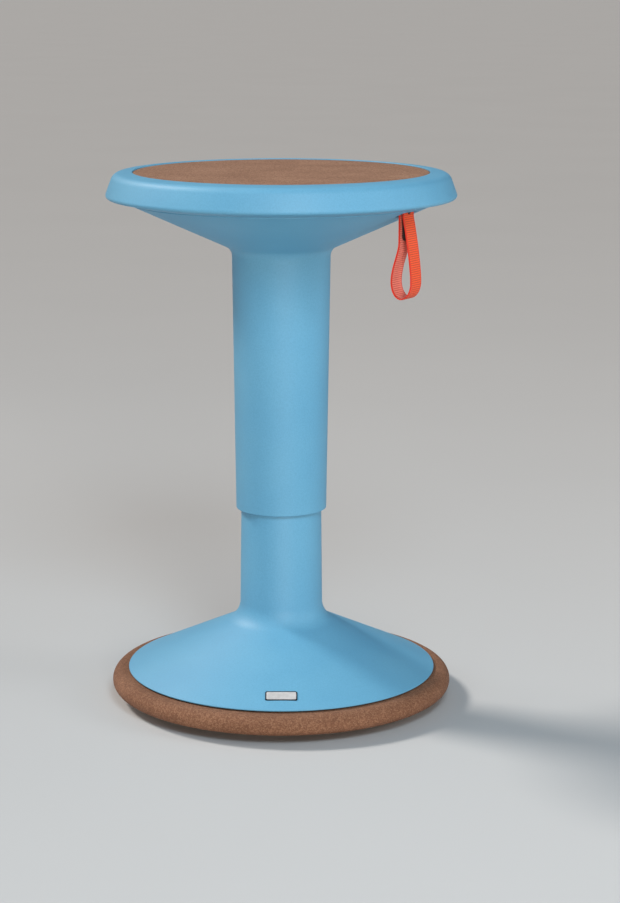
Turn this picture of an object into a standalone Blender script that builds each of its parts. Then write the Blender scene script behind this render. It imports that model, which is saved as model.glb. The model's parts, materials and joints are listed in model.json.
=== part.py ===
"""A height-adjustable wobble stool: a round seat on a gas lift, over a foot with a domed tread.

The origin is on the floor under the column. +X points at the strap that works the release lever.
The seat is modelled at its rest height. Metres, +Z up.
"""

import math

import bmesh
import bpy
from mathutils import Matrix, Vector

# Overall sizes
SEAT_HEIGHT = 0.5349  # top of the rim above the floor, at rest
SEAT_RADIUS = 0.1726
SEAT_RISE = 0.095  # how far the seat goes up from rest
SEAT_DROP = 0.085  # and down
FOOT_EDGE_RADIUS = 0.1593  # lower edge of the foot shell
FOOT_EDGE_RISE = 0.0193  # of that edge over the end of the tread's rocking curve
TREAD_OVERHANG = 0.0132  # of the tread past the foot shell's edge

# Clearances
GAP = 0.0003  # between pieces that touch
STOP_CLEARANCE = 0.009  # left between hub and guide bush with the seat at its lowest
SKIRT_CLEARANCE = 0.0121  # left between sleeve and flare with the seat at its lowest
EDGE_CLEARANCE = 0.0013  # dark line between foot shell and tread
SLEEVE_CLEARANCE = 0.00064  # between the sleeve's foot and the widest of the column
FLAP_CLEARANCE = 0.0005  # beside the moving ends of lever and strap
PAST = 0.010  # how far a cutter runs on past what it cuts

# Foot shell: a lower column that flares into a cone
FOOT_WALL = 0.0035
FOOT_SLOPE = math.radians(24.8)
FLARE_FILLET = 0.023
COLUMN_WALL = 0.0030
COLUMN_RADIUS = 0.0418  # at the flare
COLUMN_TAPER = 0.012  # radius lost per metre of height
COLUMN_PAST_TUBE = 0.015  # how far the column's top stands over the stand tube

# Tread
TREAD_FLAT = 0.075  # radius of the flat that the stool rests on
TREAD_CURVE = 0.450  # radius of the rocking curve
TREAD_SKIN = 0.006
TREAD_BULGE_RISE = 0.0068  # of the tread's widest line over the end of the rocking curve
TREAD_SHOULDER_FILLET = 0.0105

# Base plate
PLATE_SKIN = 0.004
PLATE_RIM_WALL = 0.0035
PLATE_HOLE = 0.018
PLATE_FLOOR_MARGIN = 0.0057  # of the flat under the ballast past its edge
HUB_WALL = 0.007
HUB_FOOT_WALL = 0.0091
HUB_FLOOR_RISE = 0.0097  # of the ledge that the stand tube sits on, over the plate
HUB_DEPTH = 0.035

# Ballast
BALLAST_BORE_WALK = 0.020  # of the ballast's bore past the stand tube
BALLAST_INSET = 0.017  # of the ballast's edge from the circle of base screws
BALLAST_THICKNESS = 0.014
BALLAST_SCREW_ANGLES = (30, 150, 270)

# Stand tube, its bush and collar
TUBE_RADIUS = 0.025
TUBE_WALL = 0.002
TUBE_FLOOR = 0.003
TUBE_FOOT_TAPER = 0.0015  # radius lost towards the foot, which holds the tube in the hub
TUBE_FLOOR_HOLE = 0.0065
BUSH_LENGTH = 0.080
BUSH_FLANGE = 0.003
BUSH_CLEARANCE = 0.0004
COLLAR_THICKNESS = 0.008
COLLAR_DEPTH = 0.012  # of the collar's top under the tube's top

# Swivel bearing and piston rod
ROD_RADIUS = 0.005
ROD_NECK_STEP = 0.001
GROOVE_DEPTH = 0.0007
RACE_RADIUS = 0.0125
RACE_THICKNESS = 0.002
BALL_RADIUS = 0.002
CLIP_THICKNESS = 0.0015
CLIP_RADIUS = 0.0075
WASHER_RADIUS = 0.0105
ROD_TAIL = 0.0035  # of the rod past the clip
STOP_RADIUS = 0.0135
STOP_LENGTH = 0.025
PISTON_LENGTH = 0.012

# Gas cylinder
CYLINDER_RADIUS = 0.014
CYLINDER_WALL = 0.002
CYLINDER_TAPER = 0.0008  # radius lost over the taper
CYLINDER_TAPER_LENGTH = 0.060
CYLINDER_END_WALL = 0.005
BUSH_ENGAGEMENT = 0.090  # cylinder left in the bush with the seat at its highest
ROD_GUIDE_LENGTH = 0.012
ROD_SEAL_LENGTH = 0.004
CYLINDER_LIP = 0.003
PISTON_CLEARANCE = 0.0055
VALVE_RADIUS = 0.003
VALVE_COLLAR_STEP = 0.0015
VALVE_COLLAR = 0.0025
VALVE_TRAVEL = 0.002
VALVE_BLOCK_LENGTH = 0.014
VALVE_STANDOUT = 0.007

# Seat top shell and pad
LIP_STANDOUT = 0.0008  # of the rim over the pad
PAD_THICKNESS = 0.0037
PAD_EDGE_FILLET = 0.0008
SEAT_FLOOR = 0.004
RIM_WIDTH = 0.0267
RIM_WALL = 0.0035
RIM_CROWN_INSET = 0.00735  # of the rim's upper corner from the seat's radius
RIM_CROWN_DROP = 0.0018
RIM_CROWN_FILLET = 0.0095
RIM_FOOT_OVERRUN = 0.0012  # of the rim's sharp lower corner past the seat's radius
RIM_FOOT_DROP = 0.0251
RIM_FOOT_FILLET = 0.0032
RIM_FOOT_WALL = 0.0056  # where the rim turns under
BAND_DROP = 0.0300  # of the parting line below the rim's top
BAND_WIDTH = 0.0218  # of the rim's underside, from the seat's radius in
RIB_ANGLES = (60, 150, 240, 330)
RIB_WIDTH = 0.0025
RIB_HEIGHT = 0.006
RIB_INNER = 0.020
RIB_INSET = 0.0108  # of the ribs' ends from the parting line

# Seat lower shell: a cone that runs into the upper sleeve
SEAT_SLOPE = math.radians(24.3)
CONE_WALL = 0.0033
SLEEVE_WALL = 0.0030
SLEEVE_TAPER = 0.0135
SLEEVE_FILLET = 0.011
SLEEVE_EDGE_FILLET = 0.0006
SPIGOT_HEIGHT = 0.0070
SPIGOT_WALL = 0.0027

# Taper hub and seat plate
HUB_NECK_WALL = 0.008
HUB_FLANGE_RADIUS = 0.050
HUB_FLANGE = 0.004
HUB_NECK_LENGTH = 0.0575
HUB_FILLET = 0.006
SEAT_PLATE_OVERHANG = 0.010  # of the plate past the hub's flange
SEAT_PLATE = 0.003
SEAT_PLATE_HOLE_CLEARANCE = 0.002
CYLINDER_PROUD = 0.0077  # of the cylinder over the seat plate

# Release lever
LEVER_HEADROOM = 0.0111  # between the seat floor and the lever
LEVER_THICKNESS = 0.003
LEVER_WIDTH = 0.018
LEVER_PIVOT_X = -0.045
LEVER_TAIL = 0.005
LEVER_EYE_WALL = 0.0027
PIVOT_PIN_RADIUS = 0.0025
PIVOT_PIN_OVERHANG = 0.0012
BRACKET_WALL = 0.003
BRACKET_LENGTH = 0.022
BRACKET_EAR_WALL = 0.002  # of the ears over the pivot pin
LEVER_EAR_WALL = 0.002
LEVER_EAR_RIM = 0.0014  # of the lever's ears under the strap pin
LEVER_TIP_LENGTH = 0.008
STRAP_PIN_RADIUS = 0.0013
STRAP_PIN_DEPTH = 0.0035  # of the pin's axis below the lever
STRAP_PIN_OVERHANG = 0.0003

# Strap
STRAP_INSET = 0.0088  # of the strap from the parting line
STRAP_WIDTH = 0.020
STRAP_THICKNESS = 0.0013
STRAP_LENGTH = 0.0895  # from the strap pin to the bottom of the loop
STRAP_SWING = math.radians(12)  # each way
STRAP_LOOP_RADIUS = 0.0113  # centreline of the loop's round end
TONGUE_THICKNESS = 0.0024
TONGUE_WIDTH = 0.011
TONGUE_LENGTH = 0.0335  # below the strap pin
TONGUE_EYE_WALL = 0.0014
STRAP_END_GAP = 0.0008  # of the strap's ends below the tongue's eye
RIVET_EDGE = 0.0022  # of the rivet from the strap's ends
RIVET_RADIUS = 0.0012
RIVET_HEAD_RADIUS = 0.0020
RIVET_HEAD = 0.0007

# Badge plate
BADGE_LENGTH = 0.031
BADGE_DEPTH = 0.0126
BADGE_THICKNESS = 0.0011
BADGE_STANDOUT = 0.0004
BADGE_CORNER = 0.0022
BADGE_INSET = 0.0218  # of its centre from the foot shell's edge
BADGE_ANGLE = -57

# Screws: shank radius, head radius, head height
SMALL_SCREW = (0.0020, 0.0038, 0.0022)
LARGE_SCREW = (0.0030, 0.0048, 0.0030)
SCREW_BORE_CLEARANCE = 0.0003
SCREW_END_CLEARANCE = 0.002
SOCKET_SHARE = 0.5  # of the head, taken by the driver's socket
BOSS_WALL = 0.004
BASE_SCREW_INSET = 0.0343  # from the foot shell's edge
BASE_SCREW_ANGLES = (0, 60, 120, 180, 240, 300)
BASE_BOSS_RISE = 0.0177  # of the seam between the bosses over the rocking curve
SEAT_SCREW_INSET = 0.0258  # from the parting line
SEAT_SCREW_ANGLES = (30, 90, 150, 210, 270, 330)
SEAT_BOSS_SPLIT = 0.0228  # of the seam between upper and lower bosses below the rim's top
HUB_SCREW_INSET = 0.010  # from the edge of the hub's flange
HUB_SCREW_ANGLES = (45, 135, 225, 315)

# Facets
ROUND = 32  # segments of the large turned pieces
TUBE_ROUND = 20
SMALL_ROUND = 12
SCREW_ROUND = 8
ARC_STEPS = 3
LOOP_STEPS = 12  # round the bottom of the strap's loop
SHARP_EDGE = math.radians(35)  # edges that turn more than this look sharp
WELD = 0.00001  # points closer than this are one

# Heights worked out from the sizes above, from the seat down
pad_top = SEAT_HEIGHT - LIP_STANDOUT
seat_floor_top = pad_top - PAD_THICKNESS - GAP
seat_floor_under = seat_floor_top - SEAT_FLOOR
seat_floor_middle = (seat_floor_top + seat_floor_under) / 2
parting_height = SEAT_HEIGHT - BAND_DROP
seat_split = SEAT_HEIGHT - SEAT_BOSS_SPLIT
seat_screw_seat = seat_floor_top - SMALL_SCREW[2] - GAP
lever_top = seat_floor_under - LEVER_HEADROOM
lever_under = lever_top - LEVER_THICKNESS
lever_pivot_height = (lever_top + lever_under) / 2
strap_pin_height = lever_under - STRAP_PIN_DEPTH
strap_end_height = strap_pin_height - STRAP_PIN_RADIUS - GAP - TONGUE_EYE_WALL - STRAP_END_GAP
rivet_height = strap_end_height - RIVET_EDGE
tongue_bottom = strap_pin_height - TONGUE_LENGTH
cylinder_top = lever_under - VALVE_STANDOUT
taper_start = cylinder_top - CYLINDER_TAPER_LENGTH
valve_collar_bottom = cylinder_top - CYLINDER_END_WALL - 2 * GAP - VALVE_COLLAR
valve_block_top = valve_collar_bottom - VALVE_TRAVEL - 2 * GAP
seat_plate_top = cylinder_top - CYLINDER_PROUD
seat_plate_under = seat_plate_top - SEAT_PLATE
hub_top = seat_plate_under - GAP
hub_flange_under = hub_top - HUB_FLANGE
hub_bottom = hub_flange_under - HUB_NECK_LENGTH
hub_bore_top = seat_floor_middle - SCREW_END_CLEARANCE
bush_top = hub_bottom - SEAT_DROP - STOP_CLEARANCE
tube_top = bush_top - BUSH_FLANGE - GAP
collar_top = tube_top - COLLAR_DEPTH
column_top = tube_top + COLUMN_PAST_TUBE
cylinder_bottom = bush_top - BUSH_ENGAGEMENT - SEAT_RISE
rod_guide_bottom = cylinder_bottom + CYLINDER_LIP
rod_guide_top = rod_guide_bottom + ROD_GUIDE_LENGTH
seal_top = rod_guide_top + GAP + ROD_SEAL_LENGTH + GAP
piston_bottom = seal_top + SEAT_RISE + PISTON_CLEARANCE
piston_top = piston_bottom + PISTON_LENGTH

# Heights worked out from the floor up
plate_under = TREAD_SKIN + GAP
plate_top = plate_under + PLATE_SKIN
hub_floor = plate_top + HUB_FLOOR_RISE
foot_hub_top = hub_floor + HUB_DEPTH
tube_bottom = hub_floor + GAP
race_bottom = tube_bottom + TUBE_FLOOR + GAP
bearing_bottom = race_bottom + RACE_THICKNESS + GAP
bearing_top = bearing_bottom + 2 * BALL_RADIUS
upper_race_bottom = bearing_top + GAP
shoulder = upper_race_bottom + RACE_THICKNESS + GAP
washer_top = tube_bottom - GAP
clip_top = washer_top - RACE_THICKNESS - GAP
groove_top = clip_top + GAP
groove_bottom = clip_top - CLIP_THICKNESS - GAP

# Radii worked out from the sizes above
pad_radius = SEAT_RADIUS - RIM_WIDTH
recess_radius = pad_radius + GAP
parting_radius = SEAT_RADIUS - BAND_WIDTH
seat_screw_circle = parting_radius - SEAT_SCREW_INSET
rib_outer = parting_radius - RIB_INSET
strap_x = parting_radius - STRAP_INSET
tread_radius = FOOT_EDGE_RADIUS + TREAD_OVERHANG
badge_radius = FOOT_EDGE_RADIUS - BADGE_INSET
base_screw_circle = FOOT_EDGE_RADIUS - BASE_SCREW_INSET
ballast_outer = base_screw_circle - BALLAST_INSET
ballast_inner = TUBE_RADIUS + BALLAST_BORE_WALK
ballast_screw_circle = (ballast_inner + ballast_outer) / 2
plate_edge = FOOT_EDGE_RADIUS - FOOT_WALL / math.sin(FOOT_SLOPE) - EDGE_CLEARANCE
tube_bore = TUBE_RADIUS - TUBE_WALL
tube_foot_radius = TUBE_RADIUS - TUBE_FOOT_TAPER
cylinder_bore = CYLINDER_RADIUS - CYLINDER_WALL
cylinder_top_radius = CYLINDER_RADIUS - CYLINDER_TAPER
bush_bore = CYLINDER_RADIUS + BUSH_CLEARANCE
rod_neck_radius = ROD_RADIUS - ROD_NECK_STEP
race_bore = rod_neck_radius + GAP
groove_radius = rod_neck_radius - GROOVE_DEPTH
rod_bore = ROD_RADIUS + GAP
hub_neck_radius = CYLINDER_RADIUS + HUB_NECK_WALL
hub_screw_circle = HUB_FLANGE_RADIUS - HUB_SCREW_INSET
seat_plate_radius = HUB_FLANGE_RADIUS + SEAT_PLATE_OVERHANG
seat_plate_hole = CYLINDER_RADIUS + SEAT_PLATE_HOLE_CLEARANCE
small_bore = SMALL_SCREW[0] + SCREW_BORE_CLEARANCE
small_boss = SMALL_SCREW[0] + BOSS_WALL
large_bore = LARGE_SCREW[0] + SCREW_BORE_CLEARANCE
large_boss = LARGE_SCREW[0] + BOSS_WALL
pivot_bore = PIVOT_PIN_RADIUS + GAP
strap_bore = STRAP_PIN_RADIUS + GAP

# Half widths of what hangs on the lever, worked out from the sizes above
bracket_ear_inside = LEVER_WIDTH / 2 + GAP + FLAP_CLEARANCE
bracket_ear_outside = bracket_ear_inside + BRACKET_WALL
lever_tip_half = STRAP_WIDTH / 2 + FLAP_CLEARANCE + LEVER_EAR_WALL
strap_pin_half = lever_tip_half + STRAP_PIN_OVERHANG
strap_leg = TONGUE_THICKNESS / 2 + GAP + STRAP_THICKNESS / 2
rivet_half = strap_leg + STRAP_THICKNESS / 2 + GAP
rivet_reach = rivet_half + RIVET_HEAD
rivet_swing = (strap_pin_height - rivet_height + RIVET_HEAD_RADIUS) * math.sin(STRAP_SWING)
slot_half_width = rivet_reach + rivet_swing + FLAP_CLEARANCE
slot_half_length = strap_pin_half + FLAP_CLEARANCE

stool = bpy.data.collections.new("wobble_stool")
cutters = bpy.data.collections.new("cutters")


def start_scene():
    for obj in list(bpy.data.objects):
        bpy.data.objects.remove(obj, do_unlink=True)
    bpy.context.scene.collection.children.link(stool)
    bpy.context.scene.collection.children.link(cutters)


def material(name, colour, roughness, metallic=0.0):
    made = bpy.data.materials.new(name)
    made.use_nodes = True
    shader = made.node_tree.nodes["Principled BSDF"]
    shader.inputs["Base Color"].default_value = (*colour, 1.0)
    shader.inputs["Roughness"].default_value = roughness
    shader.inputs["Metallic"].default_value = metallic
    return made


def put(mesh, name, look=None):
    """A new object in the stool's collection, or among the cutters if it has no look."""
    obj = bpy.data.objects.new(name, mesh)
    if look is None:
        cutters.objects.link(obj)
        obj.hide_render = True
        obj.display_type = "WIRE"
        return obj
    stool.objects.link(obj)
    mesh.materials.append(look)
    return obj


def rounded(corners):
    """The outline through the corners (x, z) or (x, z, fillet), with its fillets as arcs."""
    path = []
    for i, corner in enumerate(corners):
        here = Vector(corner[:2])
        if len(corner) == 2:
            path.append(here)
            continue
        before = (Vector(corners[i - 1][:2]) - here).normalized()
        after = (Vector(corners[(i + 1) % len(corners)][:2]) - here).normalized()
        half = before.angle(after) / 2
        centre = here + (before + after).normalized() * corner[2] / math.sin(half)
        start = here + before * corner[2] / math.tan(half) - centre
        end = here + after * corner[2] / math.tan(half) - centre
        turn = math.atan2(start.x * end.y - start.y * end.x, start.dot(end))
        path += [centre + Matrix.Rotation(turn * k / ARC_STEPS, 2) @ start for k in range(ARC_STEPS + 1)]
    return path


def turned(name, outline, look=None, segments=ROUND, closed=True):
    """A piece turned about Z. Its outline runs down the outer side, and closes on itself or at the axis."""
    mesh = bpy.data.meshes.new(name)
    bm = bmesh.new()
    points = [bm.verts.new((x, 0.0, z)) for x, z in outline]
    for a, b in zip(points, points[1:]):
        bm.edges.new((a, b))
    if closed:
        bm.edges.new((points[-1], points[0]))
    bm.to_mesh(mesh)
    bm.free()
    obj = put(mesh, name, look)
    screw = obj.modifiers.new("turn", "SCREW")
    screw.steps = segments
    screw.render_steps = segments
    screw.use_merge_vertices = True
    screw.merge_threshold = WELD
    return obj


def ring(name, inner, outer, bottom, top, look=None, segments=ROUND):
    outline = [(outer, top), (outer, bottom), (inner, bottom), (inner, top)]
    return turned(name, outline, look, segments)


def circle_places(radius, angles):
    return [(radius * math.cos(math.radians(a)), radius * math.sin(math.radians(a))) for a in angles]


def posts(name, places, radius, bottom, top, segments=SMALL_ROUND, slopes=(0.0, 0.0)):
    """Upright cylinders in one cutter. Their ends can rise away from the stool's axis, by the two slopes."""
    mesh = bpy.data.meshes.new(name)
    bm = bmesh.new()
    for x, y in places:
        middle = Matrix.Translation((x, y, (bottom + top) / 2))
        size = {"radius1": radius, "radius2": radius, "depth": top - bottom}
        made = bmesh.ops.create_cone(bm, cap_ends=True, segments=segments, matrix=middle, **size)
        for vert in made["verts"]:
            slope = slopes[vert.co.z > (bottom + top) / 2]
            vert.co.z += slope * (math.hypot(vert.co.x, vert.co.y) - math.hypot(x, y))
    bm.to_mesh(mesh)
    bm.free()
    return put(mesh, name)


def block(name, low, high, look=None):
    mesh = bpy.data.meshes.new(name)
    bm = bmesh.new()
    size = [h - l for l, h in zip(low, high)]
    middle = [(l + h) / 2 for l, h in zip(low, high)]
    bmesh.ops.create_cube(bm, size=1.0, matrix=Matrix.LocRotScale(middle, None, size))
    bm.to_mesh(mesh)
    bm.free()
    return put(mesh, name, look)


def cross_bar(name, x, z, radius, half_length, look=None, axis="Y", segments=SMALL_ROUND):
    """A round bar through (x, 0, z), along Y or X."""
    mesh = bpy.data.meshes.new(name)
    bm = bmesh.new()
    turn = Matrix.Rotation(math.radians(90), 4, "X" if axis == "Y" else "Y")
    bmesh.ops.create_cone(
        bm,
        cap_ends=True,
        segments=segments,
        radius1=radius,
        radius2=radius,
        depth=2 * half_length,
        matrix=Matrix.Translation((x, 0, z)) @ turn,
    )
    bm.to_mesh(mesh)
    bm.free()
    return put(mesh, name, look)


def plate(name, outline, thickness, look=None):
    """A flat outline in the XY plane, given thickness equally each way, as a mesh."""
    curve = bpy.data.curves.new(name, "CURVE")
    curve.dimensions = "2D"
    curve.fill_mode = "BOTH"
    curve.extrude = thickness / 2
    spline = curve.splines.new("POLY")
    spline.points.add(len(outline) - 1)
    for point, (x, y) in zip(spline.points, outline):
        point.co = (x, y, 0, 1)
    spline.use_cyclic_u = True
    drawn = bpy.data.objects.new(name + "_outline", curve)
    bpy.context.scene.collection.objects.link(drawn)
    mesh = bpy.data.meshes.new_from_object(drawn.evaluated_get(bpy.context.evaluated_depsgraph_get()))
    bpy.data.objects.remove(drawn)
    bm = bmesh.new()
    bm.from_mesh(mesh)
    bmesh.ops.remove_doubles(bm, verts=bm.verts, dist=WELD)
    bmesh.ops.recalc_face_normals(bm, faces=bm.faces)
    bm.to_mesh(mesh)
    bm.free()
    mesh.materials.clear()
    return put(mesh, name, look)


def combine(obj, other, operation):
    boolean = obj.modifiers.new(other.name, "BOOLEAN")
    boolean.operation = operation
    boolean.object = other
    boolean.solver = "EXACT"


def cut(obj, other):
    combine(obj, other, "DIFFERENCE")


def join(obj, other):
    combine(obj, other, "UNION")


def smooth(obj):
    """Round pieces are shaded smooth, apart from their real edges."""
    obj.data.shade_smooth()
    obj.data.set_sharp_from_angle(angle=SHARP_EDGE)


def screw(name, place, under_head, tip, sizes, look):
    """A socket screw at (x, y). Its head is at under_head, and it points at tip, up or down."""
    shank, head, height = sizes
    length = abs(tip - under_head)
    socket = head * SOCKET_SHARE
    outline = [
        (0, height * SOCKET_SHARE),
        (socket, height * SOCKET_SHARE),
        (socket, height),
        (head, height),
        (head, 0),
        (shank, 0),
        (shank, -length),
        (0, -length),
    ]
    obj = turned(name, outline, look, SCREW_ROUND, closed=False)
    obj.location = (*place, under_head)
    if tip > under_head:
        obj.rotation_euler.x = math.pi
    return obj


def axis_empty(name, place, above=None):
    """An empty on a joint's axis. Pieces parented to it turn or slide about it."""
    empty = bpy.data.objects.new(name, None)
    empty.empty_display_size = 0.02
    stool.objects.link(empty)
    empty.location = place
    if above:
        empty.parent = above
        empty.location = Vector(place) - above.matrix_world.translation
    bpy.context.view_layer.update()
    return empty


def hang(empty, starts):
    """Parents the pieces whose names start so to the empty, where they are."""
    for piece in stool.objects:
        if piece.type == "MESH" and piece.name.startswith(starts):
            piece.parent = empty
            piece.matrix_parent_inverse = empty.matrix_world.inverted()


def tread_curve(offset, radius):
    """Height of the rocking curve, moved up by offset, at a distance from the axis."""
    reach = max(radius - TREAD_FLAT, 0.0)
    return TREAD_CURVE - math.sqrt((TREAD_CURVE - offset) ** 2 - reach**2)


def tread_arc(offset, outer, inner=TREAD_FLAT):
    """The rocking curve moved up by offset, from the outer radius in to the inner one."""
    radii = [inner + (outer - inner) * k / ARC_STEPS for k in range(ARC_STEPS, -1, -1)]
    return [(r, tread_curve(offset, r)) for r in radii]


foot_edge_height = tread_curve(0.0, tread_radius) + FOOT_EDGE_RISE
bulge_height = tread_curve(0.0, tread_radius) + TREAD_BULGE_RISE
tread_top = foot_edge_height - EDGE_CLEARANCE
ballast_bottom = tread_curve(plate_top, ballast_outer) + 2 * GAP
ballast_top = ballast_bottom + BALLAST_THICKNESS
ballast_bore_bottom = plate_under + PLATE_SKIN / 4
base_boss_top = tread_curve(0.0, base_screw_circle) + BASE_BOSS_RISE
base_screw_seat = base_boss_top - GAP - BOSS_WALL


def foot_outline(cone_wall, column_wall):
    """The foot shell's surface, moved in by the walls, from the top of the column to the lower edge."""
    slope = math.tan(FOOT_SLOPE)
    flare_height = foot_edge_height + slope * (FOOT_EDGE_RADIUS - COLUMN_RADIUS)
    cone_height = foot_edge_height + slope * FOOT_EDGE_RADIUS - cone_wall / math.cos(FOOT_SLOPE)
    axis_radius = COLUMN_RADIUS + COLUMN_TAPER * flare_height - column_wall
    corner = (axis_radius - COLUMN_TAPER * cone_height) / (1 - COLUMN_TAPER * slope)
    top = axis_radius - COLUMN_TAPER * column_top
    edge = FOOT_EDGE_RADIUS - cone_wall / math.sin(FOOT_SLOPE)
    return [
        (top, column_top),
        (corner, cone_height - slope * corner, FLARE_FILLET + column_wall),
        (edge, foot_edge_height),
    ]


def column_bore(height):
    (top, _), (low, low_height, _), _ = foot_outline(FOOT_WALL, COLUMN_WALL)
    return top + (low - top) * (column_top - height) / (column_top - low_height)


def flare_top():
    """Height at which the flare's fillet leaves the column."""
    slope = math.tan(FOOT_SLOPE)
    corner = foot_edge_height + slope * (FOOT_EDGE_RADIUS - COLUMN_RADIUS)
    return corner + FLARE_FILLET * math.tan((math.pi / 2 - FOOT_SLOPE) / 2)


def cone_height_at(radius, wall=0.0):
    """Height of the seat cone's outer surface, or of the inner one for its wall."""
    rise = wall / math.cos(SEAT_SLOPE)
    return parting_height - math.tan(SEAT_SLOPE) * (parting_radius - radius) + rise


def foot_height_at(radius, wall=0.0):
    drop = wall / math.cos(FOOT_SLOPE)
    return foot_edge_height + math.tan(FOOT_SLOPE) * (FOOT_EDGE_RADIUS - radius) - drop


def seat_outline(cone_wall, sleeve_wall):
    """The lower shell's cone and sleeve, moved in by the walls, from the parting line down."""
    slope = math.tan(SEAT_SLOPE)
    end = COLUMN_RADIUS + SLEEVE_CLEARANCE + SLEEVE_WALL - sleeve_wall
    axis_radius = end - SLEEVE_TAPER * sleeve_bottom
    axis_height = cone_height_at(0.0, cone_wall)
    corner = (axis_radius + SLEEVE_TAPER * axis_height) / (1 - SLEEVE_TAPER * slope)
    return [(corner, axis_height + slope * corner, SLEEVE_FILLET + sleeve_wall), (end, sleeve_bottom)]


sleeve_bottom = flare_top() + SEAT_DROP + SKIRT_CLEARANCE
collar_radius = column_bore(collar_top) - GAP
base_bore_top = foot_height_at(base_screw_circle, FOOT_WALL) - BOSS_WALL / 2
seat_bore_bottom = cone_height_at(seat_screw_circle, CONE_WALL) + BOSS_WALL / 2
base_screw_places = circle_places(base_screw_circle, BASE_SCREW_ANGLES)
seat_screw_places = circle_places(seat_screw_circle, SEAT_SCREW_ANGLES)
hub_screw_places = circle_places(hub_screw_circle, HUB_SCREW_ANGLES)
ballast_screw_places = circle_places(ballast_screw_circle, BALLAST_SCREW_ANGLES)


def make_foot_shell():
    outer = foot_outline(0.0, 0.0)
    inner = foot_outline(FOOT_WALL, COLUMN_WALL)
    shell = turned("foot_shell", rounded(outer + inner[::-1]), blue)
    root = foot_height_at(base_screw_circle, FOOT_WALL / 2)
    slopes = (0.0, -math.tan(FOOT_SLOPE))
    join(shell, posts("foot_bosses", base_screw_places, small_boss, base_boss_top, root, slopes=slopes))
    below = base_boss_top - PAST
    cut(shell, posts("foot_bores", base_screw_places, small_bore, below, base_bore_top, SCREW_ROUND))
    cut(shell, badge_outline("badge_pocket", GAP, BADGE_THICKNESS - BADGE_STANDOUT + GAP, PAST))


def badge_outline(name, grow, depth, height, look=None):
    """The badge's rounded outline, lying on the cone. It starts depth under the surface."""
    half_length = BADGE_LENGTH / 2 + grow
    half_depth = BADGE_DEPTH / 2 + grow
    corner = BADGE_CORNER + grow
    signs = ((1, 1), (-1, 1), (-1, -1), (1, -1))
    outline = rounded([(half_depth * a, half_length * b, corner) for a, b in signs])
    obj = plate(name, outline, height, look)
    lift = Matrix.Translation((0, 0, height / 2 - depth))
    tilt = Matrix.Rotation(FOOT_SLOPE, 4, "Y")
    place = Matrix.Translation((badge_radius, 0, foot_height_at(badge_radius)))
    obj.matrix_world = Matrix.Rotation(math.radians(BADGE_ANGLE), 4, "Z") @ place @ tilt @ lift
    return obj


def make_badge():
    badge_outline("badge_plate", 0.0, BADGE_THICKNESS - BADGE_STANDOUT, BADGE_THICKNESS, silver)


def make_tread():
    centre = Vector((TREAD_FLAT, TREAD_CURVE))
    reach = Vector((tread_radius, bulge_height)) - centre
    lower = (TREAD_CURVE**2 - reach.x**2 - reach.y**2) / (2 * (TREAD_CURVE - reach.x))
    bulge = Vector((tread_radius - lower, bulge_height))
    away = (bulge - centre).normalized()
    under = math.atan2(away.y, away.x)
    turns = [under * k / ARC_STEPS for k in range(ARC_STEPS + 1)]
    roll = [bulge + lower * Vector((math.cos(turn), math.sin(turn))) for turn in turns]
    shoulder_top = (FOOT_EDGE_RADIUS - FOOT_WALL / 2, tread_top)
    crown = rounded([shoulder_top, (tread_radius, tread_top, TREAD_SHOULDER_FILLET), roll[0]])
    contact = centre.x + away.x * TREAD_CURVE
    bottom = tread_arc(0.0, contact)[1:] + [(0, 0)]
    pocket = plate_edge + GAP
    inner = [(0, TREAD_SKIN)] + tread_arc(TREAD_SKIN, pocket)[::-1] + [(pocket, tread_top)]
    turned("tread", inner + crown[1:-1] + roll + bottom, brown, closed=False)


def make_base_plate():
    rim = plate_edge - PLATE_RIM_WALL
    floor = ballast_bottom - GAP
    floor_edge = ballast_outer + PLATE_FLOOR_MARGIN
    bore = tube_foot_radius + GAP
    mouth = TUBE_RADIUS + GAP
    outline = [
        (plate_edge, tread_top),
        *tread_arc(plate_under, plate_edge),
        (PLATE_HOLE, plate_under),
        (PLATE_HOLE, hub_floor),
        (bore, hub_floor),
        (mouth, foot_hub_top),
        (mouth + HUB_WALL, foot_hub_top),
        (bore + HUB_FOOT_WALL, floor),
        (floor_edge, floor),
        *tread_arc(plate_top, rim, floor_edge)[::-1],
        (rim, tread_top),
    ]
    dish = turned("base_plate", outline, black)
    head = SMALL_SCREW[1]
    low = tread_curve(plate_under, base_screw_circle) + PLATE_SKIN / 2
    join(dish, posts("plate_bosses", base_screw_places, head + BOSS_WALL, low, base_boss_top - GAP))
    cut(dish, posts("plate_counterbores", base_screw_places, head + 2 * GAP, 0.0, base_screw_seat - GAP))
    cut(dish, posts("plate_holes", base_screw_places, small_bore, 0.0, base_boss_top + GAP, SCREW_ROUND))
    low = ballast_bore_bottom
    cut(dish, posts("ballast_bores", ballast_screw_places, small_bore, low, ballast_bottom + PAST, SCREW_ROUND))


def make_ballast():
    weight = ring("ballast_ring", ballast_inner, ballast_outer, ballast_bottom, ballast_top, iron)
    above = ballast_top + PAST
    cut(weight, posts("ballast_holes", ballast_screw_places, small_bore, 0.0, above, SCREW_ROUND))


def make_stand_tube():
    turned(
        "stand_tube",
        [
            (TUBE_RADIUS, tube_top),
            (TUBE_RADIUS, foot_hub_top + GAP),
            (tube_foot_radius, tube_bottom),
            (TUBE_FLOOR_HOLE, tube_bottom),
            (TUBE_FLOOR_HOLE, tube_bottom + TUBE_FLOOR),
            (tube_foot_radius - TUBE_WALL, tube_bottom + TUBE_FLOOR),
            (tube_bore, foot_hub_top + GAP),
            (tube_bore, tube_top),
        ],
        dark_steel,
        TUBE_ROUND,
    )


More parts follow.
